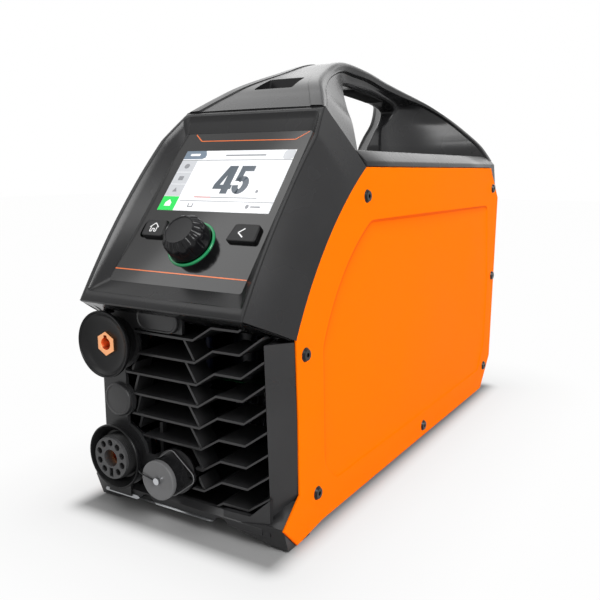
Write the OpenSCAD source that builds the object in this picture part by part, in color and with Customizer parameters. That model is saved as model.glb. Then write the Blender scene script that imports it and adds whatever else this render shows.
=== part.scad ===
// Portable inverter plasma cutter in a handled case, as an assembly of separate pieces.
// X is the width, Y runs from the control panel (-Y) to the rear (+Y), Z is up.
// The origin lies on the ground, under the middle of the case.

/* [Case] */
// Overall length, from the lip of the control panel to the rear frame
body_l = 489; // [489, 520, 570]
// Overall width over the two side panels
body_w = 184; // [172:1:224]
// Height of the top edge of the side panels
panel_top = 264.5; // [260:0.5:268]
// Height of the deck between the shoulders
deck_z = 277.5; // [275:0.5:280]
// Height of the crest of the handle
crest_z = 358; // [352:1:372]
// Half width of the handle at its crest
grip_half = 20.5; // [17:0.5:24]
// Wall of the plastic mouldings
shell_t = 3; // [2.4:0.1:3.4]
// Sheet thickness of the side panels and the base
sheet_t = 1.5; // [1:0.1:2]
// Assembly gap between neighbouring pieces
gap = 0.3; // [0.2:0.05:0.4]
// Height of the rubber feet
foot_h = 10; // [9:0.5:11]
// Diameter of the rubber feet
foot_d = 26; // [18:1:32]

/* [Control panel] */
// Lean of the glass from the vertical, in degrees
tilt = 40.5; // [39:0.5:42]
// Length of the glass up its slope
glass_l = 144; // [138:1:150]
// Thickness of the glass
glass_t = 2; // [1.6:0.1:2.4]
// Height of the lit window of the display
lcd_h = 60; // [50:1:62]
// Distance from the lower edge of the glass to the lit window
lcd_u = 66; // [65:0.5:70]
// Distance from the lower edge of the glass to the knob axis
knob_u = 36.5; // [34:0.5:38]
// Diameter of the knob at its base
knob_d = 34.4; // [26:0.2:42]
// Height of the knob over the glass
knob_h = 18.5; // [16:0.5:24]
// Diameter of the encoder shaft
shaft_d = 6; // [5:0.1:7.4]
// Running clearance of the shaft and the knob, on the radius
run_c = 0.05; // [0.02:0.01:0.1]
// Width of a push button
button_w = 24; // [18:1:26]
// Height of a push button, up the slope
button_h = 16; // [12:1:18]
// Distance from the middle of the glass to the middle of a button
button_x = 42; // [40:0.5:44]
// Push travel of the buttons and of the knob
travel = 0.6; // [0.3:0.1:0.7]

/* [Front sockets] */
// Distance of the socket column from the side of the case
col_in = 34; // [33:0.5:36]
// Height of the earth socket
earth_z = 135; // [134:0.5:137]
// Diameter of the earth socket's flange
earth_d = 51; // [42:1:54]
// Pin diameter of the earth socket
earth_pin = 9; // [7.5:0.1:10.8]
// Height of the round blank cap
blank_z = 89; // [86:1:92]
// Diameter of the round blank cap
blank_d = 26; // [22:1:30]
// Height of the torch socket
torch_z = 45; // [44:0.5:46]
// Diameter of the torch socket's collar
torch_d = 50; // [44:1:52]
// Distance of the signal socket from the middle of the case, to the left
signal_in = 5.5; // [0:0.5:8]
// Height of the signal socket
signal_z = 41; // [38:0.5:44]
// Diameter of the signal socket's cap
signal_d = 30.8; // [26:0.2:36]

/* [Grille] */
// Number of slats
slat_n = 9; // [7:1:9]
// Distance between slats
slat_pitch = 16.6; // [15:0.1:16.8]
// Thickness of a slat
slat_t = 1.8; // [1.2:0.1:2.4]
// Depth of a slat, front to back
slat_depth = 38; // [30:1:40]

/* [Rear] */
// Side of the square fan frame
fan_size = 120; // [92:1:130]
// Thickness of the fan
fan_t = 38; // [25:1:42]
// Outer diameter of the mains cable
cable_d = 11; // [8:0.5:14]
// Outer diameter of the air line
hose_d = 8; // [6:0.5:10]

/* [Hidden] */
$fn = 48;
half = body_w / 2;
yf = -body_l / 2;
yr = body_l / 2;
in_x = half - sheet_t;
rim_half = half - 18;
glass_w = 2 * (rim_half - 13.3);
lcd_w = glass_w - 14;
lip_z = 168;
rim_top = [yf + 118.5, panel_top + 44.5];
rim_mid = [yf + 45, 232];
rim_low = [yf, lip_z];
edge_top = [yf + 137, panel_top];
edge_mid = [yf + 80, 215.5];
edge_kink = [yf + 36, 150.4];
glass_low = [yf + 17.1, 181.7];
floor_t = 2.5;
board_n = glass_t + 10;
plate_y = yf + 20.5;
col_x = -half + col_in;
col_right = -half + 40.7;
cover_front = yf + 138.5;
cover_rear = yr - 31.5;
rear_plate_y = yr - 41;
rear_plate_t = 2.5;
pan_front = yf + 62.5;
pan_rear = yr - 42.5;
pan_top = foot_h + sheet_t;
fan_z = 22 + fan_size / 2;
duct_z = 205;
board_z = 74;
board_t = 1.6;
screw_head_r = 5.2;
screw_r = 2.4;
slat_low = 145.5 - 8 * 16.55;
first_slat = slat_low + 8 * slat_pitch;
panel_screws = [
    [yf + 139.3, panel_top - 21.8],
    [yf + 48.1, 138.2],
    [yf + 65.1, 30.4],
    [26.7, 17],
    [yr - 27.6, 32.1],
    [yr - 7.7 - 3, 138.9],
    [yr - 21.7, 241.5]
];

shell_grey = [0.23, 0.23, 0.24];
slat_black = [0.10, 0.10, 0.11];
orange = [1.0, 0.50, 0.04];
copper = [0.85, 0.42, 0.22];
steel = [0.72, 0.73, 0.75];
green = [0.05, 0.50, 0.30];

// Circle through three points, from a to c by the short way, as n + 1 points
function arc_centre(a, b, c) =
    let (d = 2 * (a.x * (b.y - c.y) + b.x * (c.y - a.y) + c.x * (a.y - b.y)))
    [
        ((a * a) * (b.y - c.y) + (b * b) * (c.y - a.y) + (c * c) * (a.y - b.y)) / d,
        ((a * a) * (c.x - b.x) + (b * b) * (a.x - c.x) + (c * c) * (b.x - a.x)) / d
    ];
function arc_points(a, b, c, n) =
    let (
        o = arc_centre(a, b, c),
        r = norm(a - o),
        start = atan2(a.y - o.y, a.x - o.x),
        stop = atan2(c.y - o.y, c.x - o.x),
        sweep = (stop - start + 540) % 360 - 180
    )
    [for (i = [0:n]) o + r * [cos(start + sweep * i / n), sin(start + sweep * i / n)]];
function backwards(list) = [for (i = [len(list) - 1:-1:0]) list[i]];
function mix(a, b, t) = a + (b - a) * t;

side_edge = arc_points(edge_top, edge_mid, edge_kink, 12);
rim_edge = arc_points(rim_top, rim_mid, rim_low, 12);

// A YZ outline carried along X, from x0 to x1
module along_x(x0, x1) {
    translate([x0, 0, 0]) rotate([90, 0, 90]) linear_extrude(x1 - x0) children();
}
// An XZ outline carried along Y, from y0 to y1
module along_y(y0, y1) {
    translate([0, y1, 0]) rotate([90, 0, 0]) linear_extrude(y1 - y0) children();
}
// Both sides of the case
module both_sides() {
    children();
    mirror([1, 0, 0]) children();
}
// The frame of the glass: x across, y up the slope, z out of the front face
module on_glass() {
    translate([0, glass_low.x, glass_low.y]) rotate([90 - tilt, 0, 0]) children();
}
// The frame of a front socket: z points out of the mounting plate
module on_plate(x, z) {
    translate([x, plate_y, z]) rotate([90, 0, 0]) children();
}
// A rectangle with round corners, centred
module round_rect(w, h, r) {
    union() {
        square([w - 2 * r, h], center = true);
        square([w, h - 2 * r], center = true);
        for (x = [-1, 1]) {
            for (y = [-1, 1]) {
                translate([x * (w / 2 - r), y * (h / 2 - r)]) circle(r);
            }
        }
    }
}
// A round tube without a bore along a route, as one closed mesh with flat ends
module tube(route, r, sides = 8) {
    n = len(route);
    rings = [for (i = [0:n - 1])
        let (
            a = route[max(i - 1, 0)],
            b = route[min(i + 1, n - 1)],
            d = (b - a) / norm(b - a),
            s = abs(d.z) < 0.9 ? [0, 0, 1] : [1, 0, 0],
            u = cross(d, s) / norm(cross(d, s)),
            v = cross(d, u)
        )
        each [for (k = [0:sides - 1]) route[i] + r * (u * cos(360 * k / sides) + v * sin(360 * k / sides))]];
    sides_list = [for (i = [0:n - 2]) for (k = [0:sides - 1])
        let (k2 = (k + 1) % sides)
        each [[i * sides + k, (i + 1) * sides + k2, i * sides + k2],
              [i * sides + k, (i + 1) * sides + k, (i + 1) * sides + k2]]];
    start_cap = [for (k = [1:sides - 2]) [0, k, k + 1]];
    last = (n - 1) * sides;
    end_cap = [for (k = [1:sides - 2]) [last, last + k + 1, last + k]];
    polyhedron(rings, concat(sides_list, start_cap, end_cap));
}
// A route with each inner corner rounded by a quadratic curve of reach r
function rounded(route, r, n = 4) = concat(
    [route[0]],
    [for (i = [1:len(route) - 2])
        let (
            p = route[i],
            a = p + r * (route[i - 1] - p) / norm(route[i - 1] - p),
            b = p + r * (route[i + 1] - p) / norm(route[i + 1] - p)
        )
        each [for (k = [0:n]) mix(mix(a, p, k / n), mix(p, b, k / n), k / n)]],
    [route[len(route) - 1]]
);

// Control panel ------------------------------------------------------------

// Outer form of the bezel: the rim in the middle, the cheeks falling back to the side panels
module bezel_form(inset) {
    hull() {
        along_x(-rim_half + 8 + inset, rim_half - 8 - inset) polygon(rim_edge);
        along_x(-rim_half + inset, rim_half - inset) {
            polygon(concat([for (i = [2:12]) rim_edge[i]], [edge_kink, edge_top]));
        }
        along_x(-in_x + 0.1 + inset, in_x - 0.1 - inset) polygon(side_edge);
    }
}
// The well that the glass lies in, with sloping walls
module glass_well(grow, low, high) {
    hull() {
        on_glass() translate([-glass_w / 2 - gap - grow, -gap - grow, low]) {
            cube([glass_w + 2 * gap + 2 * grow, glass_l + 2 * gap + 2 * grow, -low]);
        }
        on_glass() translate([-glass_w / 2 - 0.85 * high - grow, -8 - grow, high]) {
            cube([glass_w + 1.7 * high + 2 * grow, glass_l + 8 + 1.1 * high + 2 * grow, 1]);
        }
    }
}
module button_outline(grow) {
    round_rect(button_w + 2 * grow, button_h + 2 * grow, 5);
}
// Everything that passes through the glass and the floor of its well
module panel_holes() {
    translate([0, knob_u, -20]) cylinder(r = shaft_d / 2 + 2.2, h = 30);
    for (side = [-1, 1]) {
        translate([side * button_x, knob_u + 11.5, -20]) linear_extrude(30) button_outline(gap);
    }
}
module front_bezel() {
    color(shell_grey) difference() {
        bezel_form(0);
        difference() {
            translate([0, 5, 0]) bezel_form(shell_t);
            glass_well(shell_t, -glass_t - floor_t, 14);
            on_glass() board_mounts();
        }
        glass_well(0, -glass_t, 20);
        on_glass() panel_holes();
        on_glass() translate([-lcd_w / 2 - 3.5, lcd_u - 3, -20]) cube([lcd_w + 7, lcd_h + 6, 30]);
        translate([-half + 32, yf + 6, 140]) cube([body_w - 64, 60, 34]);
    }
}
module board_mounts() {
    for (x = [-1, 1]) {
        for (y = [12, glass_l - 9]) {
            translate([x * (glass_w / 2 - 9), y, -board_n]) cylinder(r = 3, h = board_n - glass_t);
        }
    }
}
module display_glass() {
    color([0.05, 0.05, 0.06]) on_glass() difference() {
        translate([-glass_w / 2, 0, -glass_t]) cube([glass_w, glass_l, glass_t]);
        panel_holes();
    }
}
module display_module() {
    color([0.80, 0.83, 0.86]) on_glass() translate([-lcd_w / 2 - 3, lcd_u - 2.5, -board_n]) {
        cube([lcd_w + 6, lcd_h + 5, board_n - glass_t]);
    }
}
module control_board() {
    color([0.05, 0.35, 0.20]) on_glass() translate([-glass_w / 2 + 4, 6, -board_n - board_t]) {
        cube([glass_w - 8, glass_l - 12, board_t]);
    }
}
module encoder_body() {
    color(steel) on_glass() translate([0, knob_u, -board_n]) difference() {
        union() {
            translate([-7, -7, 0]) cube([14, 14, 5.5]);
            cylinder(r = shaft_d / 2 + 1.6, h = board_n + 1);
        }
        translate([0, 0, 1]) cylinder(r = shaft_d / 2 + run_c, h = board_n + 1);
    }
}
module encoder_shaft() {
    color(steel) on_glass() translate([0, knob_u, -board_n + 1 + travel + 0.3]) {
        cylinder(d = shaft_d, h = board_n - 1.3 - travel + knob_h - 4.5);
    }
}
module control_knob() {
    base = 1.4;
    r = knob_d / 2;
    color([0.09, 0.09, 0.10]) on_glass() translate([0, knob_u, 0]) difference() {
        rotate_extrude($fn = 64) {
            polygon([
                [0, base], [r - 0.6, base], [r, base + 0.6], [r, base + 3], [r - 1, base + 4.5],
                [r - 4.2, knob_h - 1.4], [r - 5.4, knob_h], [r - 6.4, knob_h - 0.5], [0, knob_h - 0.5]
            ]);
        }
        translate([0, 0, -1]) cylinder(r = shaft_d / 2 + run_c, h = knob_h - 3.2);
        translate([0, 0, -1]) cylinder(r = shaft_d / 2 + 2.4, h = base + 3);
        for (i = [0:11]) {
            rotate(30 * i) translate([r + 0.9, 0, base + 5]) rotate([0, -15, 0]) cylinder(r = 1.6, h = knob_h);
        }
    }
}
module knob_light_ring() {
    color(green) on_glass() translate([0, knob_u, 0]) difference() {
        cylinder(r = knob_d / 2 + 2.1, h = 2.2);
        translate([0, 0, -1]) cylinder(r = knob_d / 2 + 0.4, h = 5);
    }
}
module push_button(side) {
    stem = board_n - 3 - travel;
    color([0.14, 0.14, 0.15]) on_glass() translate([side * button_x, knob_u + 11.5, 0]) {
        translate([0, 0, -stem]) linear_extrude(stem + 3.2) button_outline(0);
        translate([0, 0, -glass_t - floor_t - 2.3]) linear_extrude(1.8) round_rect(button_w + 4, button_h + 4, 5);
    }
}
module home_button() {
    push_button(-1);
}
module back_button() {
    push_button(1);
}
module button_switches() {
    color(steel) on_glass() for (side = [-1, 1]) {
        translate([side * button_x - 3, knob_u + 8.5, -board_n]) cube([6, 6, 2.8]);
    }
}

// Lower front --------------------------------------------------------------

// Seat behind the front edge of a side panel, on the right side
module panel_seat() {
    along_x(in_x - 3.2, in_x - 0.2) {
        polygon([
            [edge_top.x + 0.7, panel_top - 0.6], [edge_top.x + 28, panel_top - 0.6],
            [edge_kink.x + 34, 150], [edge_kink.x + 34, foot_h + 2],
            [edge_kink.x + 8, foot_h + 2], [edge_kink.x + 8, 149], [edge_kink.x + 0.7, 149.6]
        ]);
    }
}
// Boss for a panel screw, on the right side
module screw_boss(at) {
    translate([in_x - 12.2, at.x, at.y]) rotate([0, 90, 0]) cylinder(r = 5.5, h = 12);
}
module screw_bore(at) {
    translate([in_x - 14, at.x, at.y]) rotate([0, 90, 0]) cylinder(r = screw_r + 0.05, h = 16);
}
// Leaning post between the grille and the side panel, on the right side
module post(with_return) {
    reach = with_return ? 52 : 32;
    translate([0, yf, foot_h]) rotate([3, 0, 0]) linear_extrude(137) {
        polygon([
            [half - 16, 28], [in_x - 0.2, 43], [in_x - 0.2, 47],
            [half - 13.5, 33], [half - 13.5, reach], [half - 16, reach]
        ]);
    }
}
module toe() {
    hull() {
        along_x(in_x - 7, in_x - 0.2) {
            polygon([
                [yf + 39, 34], [yf + 21.5, 20], [yf + 28, 1],
                [yf + 56, 1], [yf + 61, 7], [yf + 61, 30]
            ]);
        }
        along_x(half - 34, half - 33) {
            polygon([[yf + 27.5, 16], [yf + 28, foot_h], [yf + 61, foot_h], [yf + 61, 16]]);
        }
    }
    hull() {
        along_x(in_x - 14, in_x - 0.2) {
            polygon([[yf + 21.5, 20], [yf + 28, 1], [yf + 56, 1], [yf + 61, 7], [yf + 61, 20]]);
        }
        along_x(half - 49, half - 48) {
            polygon([[yf + 22.9, 14], [yf + 23.4, foot_h + 0.5], [yf + 60.5, foot_h + 0.5], [yf + 60.5, 14]]);
        }
    }
}
// Arc of a flange corner: its middle, its radius and the direction that it faces
function flange_corner(at, r, facing, half_sweep) =
    [for (i = [-4:4]) at + r * [cos(facing + half_sweep * i / 4), sin(facing + half_sweep * i / 4)]];
module signal_flange(grow) {
    polygon(concat(
        flange_corner([15, 0], 6 + grow, 0, 52),
        flange_corner([0, 13], 5 + grow, 90, 38),
        flange_corner([-15, 0], 6 + grow, 180, 52),
        flange_corner([0, -13], 5 + grow, 270, 38)
    ));
}
// Plate that carries the sockets, with arms for the signal socket and the oblong cap
module socket_plate() {
    along_y(plate_y, plate_y + 3) {
        translate([-half + 17, foot_h]) square([col_right + half - 17, 155 - foot_h]);
        translate([-half + 32, 147]) square([half - 26, 19.5]);
        translate([-signal_in, signal_z]) circle(17);
        translate([col_right - 4, signal_z - 8]) square([half - 45, 16]);
        socket_pads(0);
    }
}
// Round parts of the plate behind the sockets of the column
module socket_pads(grow) {
    translate([col_x, earth_z]) circle(earth_d / 2 - 4 + grow);
    translate([col_x, blank_z]) circle(blank_d / 2 + 1 + grow);
    translate([col_x, torch_z]) circle(torch_d / 2 + 0.5 + grow);
}
module front_frame() {
    color(shell_grey) difference() {
        union() {
            both_sides() panel_seat();
            both_sides() for (i = [0:2]) {
                screw_boss(panel_screws[i]);
            }
            post(true);
            mirror([1, 0, 0]) post(false);
            both_sides() toe();
            socket_plate();
            along_x(-half + 20, half - 20) {
                polygon([
                    [yf + 22.3, 15.5], [yf + 22.5, foot_h + 0.6], [yf + 23.1, foot_h], [yf + 61, foot_h],
                    [yf + 61, foot_h + 2], [yf + 26.5, foot_h + 2], [yf + 26, 14.8], [yf + 30, 18],
                    [yf + 30, 19], [yf + 26.6, 19]
                ]);
            }
            along_y(yf + 23, yf + 27) {
                polygon([[38, 21], [61.4, 22], [half - 13.7, 38], [half - 13.7, 11], [43, 11], [38, 14]]);
            }
            translate([-half + 17, plate_y, foot_h]) cube([col_right + half - 17, 10, 2]);
            translate([-in_x + 1, yf + 64, 144]) cube([2 * in_x - 2, 4, 5.5]);
        }
        both_sides() for (i = [0:2]) {
            screw_bore(panel_screws[i]);
        }
        for (x = [-36, 36]) {
            translate([x, yf + 20, foot_h - 2.5]) rotate([-90, 0, 0]) cylinder(r = 7, h = 16);
        }
        on_plate(col_x, earth_z) translate([0, 0, -8]) cylinder(r = earth_pin / 2 + 9 + gap, h = 12);
        on_plate(col_x, blank_z) translate([0, 0, -8]) cylinder(r = blank_d / 2 - 3.2, h = 12);
        on_plate(col_x, torch_z) translate([0, 0, -8]) cylinder(r = torch_d / 2 - 5.7, h = 12);
        on_plate(-signal_in, signal_z) translate([0, 0, -8]) cylinder(r = signal_d / 2 - 2.6, h = 12);
        on_plate(col_x, torch_z) translate([0, 0, -12]) cylinder(r = torch_d / 2 - 0.5, h = 9);
        on_plate(-15.5, 156) translate([0, 0, -8]) linear_extrude(12) round_rect(32, 11, 5.4);
    }
}
module slat(i) {
    z = first_slat - i * slat_pitch;
    front = yf + 28.5 - 0.0714 * z;
    line = [
        [col_right + gap, z], [half - 74.5, z], [half - 58, z + 10.6],
        [half - 35, z + 10.9], [half - 16 - gap, z + 24.6]
    ];
    along_y(front, front + slat_depth) {
        polygon(concat(line, backwards([for (p = line) p - [0, slat_t]])));
    }
}
// The two slanted ribs between a slat and the slat above it
module slat_ribs(i) {
    z = first_slat - i * slat_pitch;
    front = yf + 30.5 - 0.0714 * z;
    left = col_right + 4;
    right = half - 77;
    rise = slat_pitch - slat_t / 2;
    along_y(front, front + slat_depth / 2) {
        if (i < 7) {
            polygon([[left, z - 0.5], [left + 2.2, z - 0.5], [left + 8.2, z + rise], [left + 6, z + rise]]);
        }
        polygon([[right, z - 0.5], [right + 2.2, z - 0.5], [right - 8, z + rise], [right - 10.2, z + rise]]);
    }
}
module front_grille() {
    color(slat_black) intersection() {
        difference() {
            union() {
                for (i = [0:slat_n - 1]) {
                    slat(i);
                }
                for (i = [1:slat_n - 2]) {
                    slat_ribs(i);
                }
                along_y(yf + 34, yf + 38) {
                    translate([half - 19.3, 34]) square([3, 102]);
                    translate([-31, 19]) square([3, 52]);
                    translate([col_right + gap, 66]) square([3, 64]);
                }
            }
            along_y(plate_y - 4, plate_y + 54) {
                translate([-signal_in, signal_z]) circle(17 + gap);
                socket_pads(gap);
            }
            along_y(plate_y - 4, plate_y + 3 + gap) {
                translate([col_right - 5, signal_z - 8 - gap]) square([half - 44 + gap, 16 + 2 * gap]);
                translate([-half + 30, 147 - gap]) square([half - 24 + gap, 20]);
            }
        }
        union() {
            along_x(-half, half) {
                polygon([
                    [yf, 19.5], [yf + 68, 19.5], [yf + 68, 143.5], [yf + 44, 143.5],
                    [yf + 36, 149], [yf + 6, 163.5], [yf, 163.5]
                ]);
            }
            along_x(-half + 33, half - 33) {
                polygon([[yf + 7, 140], [yf + 7, 163.5], [yf + 63, 163.5], [yf + 63, 140]]);
            }
        }
    }
}

// Case ---------------------------------------------------------------------

// Handle: each station holds [place along the cover, half width and height of the upper edge,
// place, half width and height of the lower edge]
flare = half - 92;
handle_stations = [
    [0.000, 66 + flare, 309.5, 0.088, 80 + flare, 270],
    [0.055, 54, 321.5, 0.162, 62, 297],
    [0.112, 42, 332.5, 0.235, 44, 312],
    [0.212, 29, 345, 0.304, 27, 331],
    [0.342, grip_half, crest_z - 0.3, 0.366, 17, 338],
    [0.489, grip_half, crest_z - 3, 0.451, 16, 337.5],
    [0.619, grip_half, 349, 0.575, 15, 335],
    [0.737, 24, 342.7, 0.690, 13, 331],
    [0.826, 27, 338, 0.743, 9.5, 325],
    [0.885, 35, 331, 0.727, 6.5, 316],
    [0.956, 50, 317, 0.688, 5, 306],
    [0.9945, 66 + flare / 2, 302, 0.664, 8, 292],
    [1.027, 78 + flare, 288.5, 0.656, 10.5, 283],
    [1.060, 86.5 + flare, 273, 0.648, 12, 262]
];
function along_cover(s) = mix(rim_top.x + 0.6, cover_rear, s);
// Catmull-Rom value of one column between stations k and k + 1
function station_value(k, t, c) =
    let (
        n = len(handle_stations) - 1,
        a = handle_stations[max(k - 1, 0)][c],
        b = handle_stations[k][c],
        d = handle_stations[min(k + 1, n)][c],
        e = handle_stations[min(k + 2, n)][c]
    )
    0.5 * ((2 * b) + (d - a) * t + (2 * a - 5 * b + 4 * d - e) * t * t + (3 * b - a - 3 * d + e) * t * t * t);
function handle_ring(k, t) =
    let (
        v = [for (c = [0:5]) station_value(k, t, c)],
        top = [along_cover(v[0]), v[2]],
        low = [along_cover(v[3]), v[5]],
        down = (low - top) / norm(low - top),
        a = v[1],
        b = v[4],
        soft = top + 2.5 * down,
        crease = top + 9 * down,
        foot = low - 2.5 * down,
        hollow = 0.2 * max(a - b, 0),
        right = concat(
            [[a - 3, top.x, top.y], [a, soft.x, soft.y]],
            [for (j = [0:5]) [
                mix(a - 0.5, b, j / 5) - hollow * sin(36 * j),
                mix(crease.x, foot.x, j / 5), mix(crease.y, foot.y, j / 5)
            ]],
            [[b - 2.5, low.x, low.y]]
        )
    )
    concat([[0, top.x, top.y + 0.8]], right, backwards([for (p = right) [-p.x, p.y, p.z]]));
module handle_form() {
    steps = 4;
    spans = len(handle_stations) - 1;
    rings = concat(
        [for (k = [0:spans - 1]) for (i = [0:steps - 1]) handle_ring(k, i / steps)],
        [handle_ring(spans - 1, 1)]
    );
    m = len(rings[0]);
    n = len(rings);
    walls = [for (i = [0:n - 2]) for (k = [0:m - 1])
        let (k2 = (k + 1) % m)
        each [[i * m + k, (i + 1) * m + k2, i * m + k2], [i * m + k, (i + 1) * m + k, (i + 1) * m + k2]]];
    last = (n - 1) * m;
    first_cap = [for (k = [1:m - 2]) [0, k, k + 1]];
    last_cap = [for (k = [1:m - 2]) [last, last + k + 1, last + k]];
    polyhedron([for (ring = rings) each ring], concat(walls, first_cap, last_cap), convexity = 4);
}
// The soft underside of the grip, between the legs of the handle
module grip_zone(clear) {
    y0 = along_cover(0.44);
    y1 = along_cover(0.66);
    translate([-14 + clear, y0 + clear, 322]) cube([28 - 2 * clear, y1 - y0 - 2 * clear, 19 - clear]);
}
module handle_insert() {
    color(slat_black) difference() {
        intersection() {
            handle_form();
            grip_zone(0.15);
        }
        handle_screw_set(0.1);
    }
}
module handle_screw_set(grow) {
    for (s = [0.49, 0.61]) {
        translate([0, along_cover(s), 330]) cylinder(r = 1.5 + grow, h = 18);
        translate([0, along_cover(s), 330]) cylinder(r = 3.2 + grow, h = 8.5);
    }
}
module handle_screws() {
    color(steel) for (s = [0.49, 0.61]) {
        translate([0, along_cover(s), 337.8]) cylinder(r = 3.2, h = 0.7 + 0);
        translate([0, along_cover(s), 338]) cylinder(r = 1.5, h = 9.5);
    }
}
module top_cover() {
    color(shell_grey) difference() {
        union() {
            difference() {
                along_y(cover_front, cover_rear) {
                    polygon([
                        [-in_x - 0.5, panel_top + gap], [-in_x - 0.5, deck_z - 8.5], [-half + 10, deck_z],
                        [half - 10, deck_z], [in_x + 0.5, deck_z - 8.5], [in_x + 0.5, panel_top + gap]
                    ]);
                }
                along_y(cover_front + shell_t, cover_rear - shell_t) {
                    polygon([
                        [-in_x + 3, panel_top], [-in_x + 3, deck_z - 8.5], [-half + 12, deck_z - shell_t],
                        [half - 12, deck_z - shell_t], [in_x - 3, deck_z - 8.5], [in_x - 3, panel_top]
                    ]);
                }
            }
            difference() {
                handle_form();
                translate([-half, yf, 240]) cube([body_w, body_l, deck_z - 240 - 1]);
            }
            along_x(-66 - flare, 66 + flare) {
                polygon([
                    [rim_top.x + 0.6, rim_top.y - 0.5], [cover_front + 2, deck_z - 2],
                    [cover_front + 5, deck_z - 2], [rim_top.x + 4.6, rim_top.y - 0.5]
                ]);
            }
        }
        grip_zone(0);
        handle_screw_set(0.05);
        strap_slot();
        along_x(-half, half) {
            polygon([
                [yf, 400], [rim_top.x + 0.5, rim_top.y + 1.5], [edge_top.x + 0.5, edge_top.y - 2], [yf, 200]
            ]);
        }
    }
}
// Pocket in the front slope of the handle, for a carrying strap
module strap_slot() {
    along_y(along_cover(0.085), along_cover(0.152)) {
        polygon([[-19, 312], [19, 312], [15, 345], [-12, 345]]);
    }
}
// Outline of a side panel in the YZ plane, drawn in by a margin at the lower edges
panel_outline = concat(side_edge, [
    [yf + 39.2, 94.3], [yf + 40.5, 38.2], [yf + 19.7, 19.9], [yf + 37.1, 2], [yf + 73.3, 6],
    [yr - 35, 5.8], [yr - 4.7, 39.8], [yr, 230.7], [yr - 31.9, panel_top]
]);
// The pressed field of a side panel
field_outline = concat(
    arc_points([yf + 148, panel_top - 41], [yf + 112, 197], [yf + 73, 138], 8),
    [[yf + 76.5, 47], [yf + 93.5, 31], [yr - 48, 31], [yr - 30, 60], [yr - 27.5, 136], [yr - 40, panel_top - 42]]
);
module side_panel() {
    difference() {
        union() {
            along_x(half - sheet_t, half) difference() {
                polygon(panel_outline);
                polygon(field_outline);
            }
            along_x(half - sheet_t - 0.9, half - 0.9) polygon(field_outline);
        }
        for (at = panel_screws) {
            translate([half - 4, at.x, at.y]) rotate([0, 90, 0]) cylinder(r = screw_r + 0.2, h = 6);
        }
    }
}
module side_panel_right() {
    color(orange) side_panel();
}
module side_panel_left() {
    color(orange) mirror([1, 0, 0]) side_panel();
}
module side_screws() {
    for (at = panel_screws) {
        translate([half, at.x, at.y]) rotate([0, 90, 0]) difference() {
            union() {
                cylinder(r1 = screw_head_r, r2 = 3.9, h = 1.9);
                translate([0, 0, -10]) cylinder(r = screw_r, h = 10);
            }
            translate([0, 0, 0.7]) cylinder(r = 1.8, h = 3, $fn = 6);
        }
    }
}
module side_screws_right() {
    color(slat_black) side_screws();
}
module side_screws_left() {
    color(slat_black) mirror([1, 0, 0]) side_screws();
}
module base_pan() {
    wall_x = in_x - 0.2;
    color(steel) difference() {
        union() {
            translate([-wall_x, pan_front, foot_h]) cube([2 * wall_x, pan_rear - pan_front, sheet_t]);
            both_sides() translate([wall_x - sheet_t, pan_front + 9, foot_h]) {
                cube([sheet_t, pan_rear - pan_front - 9, 18]);
            }
            both_sides() translate([wall_x - 8, panel_screws[3].x - 8, foot_h]) cube([8, 16, 15]);
        }
        both_sides() screw_bore(panel_screws[3]);
        for (y = [-90:36:90]) {
            translate([0, y, foot_h - 1]) linear_extrude(4) round_rect(70, 6, 2.9);
        }
    }
}
module rubber_feet() {
    color([0.07, 0.07, 0.07]) for (y = [pan_front + 22, pan_rear - 24]) {
        both_sides() translate([half - 24, y, 0]) difference() {
            cylinder(d1 = foot_d - 3, d2 = foot_d, h = foot_h);
            translate([0, 0, -1]) cylinder(r = 4, h = foot_h - 4);
        }
    }
}
module rear_frame() {
    skin = in_x - 0.9 - gap;
    color(shell_grey) difference() {
        union() {
            along_x(-skin, skin) {
                polygon([
                    [yr - 42, foot_h], [yr - 37, 8], [yr - 6, 41], [yr - 1.2, 230.3],
                    [yr - 31.2, panel_top - 0.6], [yr - 42, panel_top - 0.6]
                ]);
            }
            intersection() {
                along_x(-skin, skin) {
                    polygon([
                        [yr - 31.2, panel_top - 4], [yr - 31.2, deck_z - 1 - gap],
                        [yr - 14, deck_z - 1 - gap], [yr, 232.5],
                        [yr, 222], [yr - 4, 222]
                    ]);
                }
                along_y(yr - 40, yr) {
                    polygon([
                        [-skin, 200], [-skin, deck_z - 9], [-half + 10, deck_z],
                        [half - 10, deck_z], [skin, deck_z - 9], [skin, 200]
                    ]);
                }
            }
            both_sides() for (i = [4:6]) {
                screw_boss(panel_screws[i]);
            }
        }
        along_y(yr - 50, yr + 10) {
            translate([0, 135.5]) round_rect(2 * skin - 13, 231, 10);
        }
        along_x(-half + 12, half - 12) {
            polygon([[yr - 60, 244], [yr - 60, 262], [yr - 33, 262], [yr - 12, 234], [yr - 12, 228]]);
        }
        both_sides() for (i = [4:6]) {
            screw_bore(panel_screws[i]);
        }
    }
}
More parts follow.
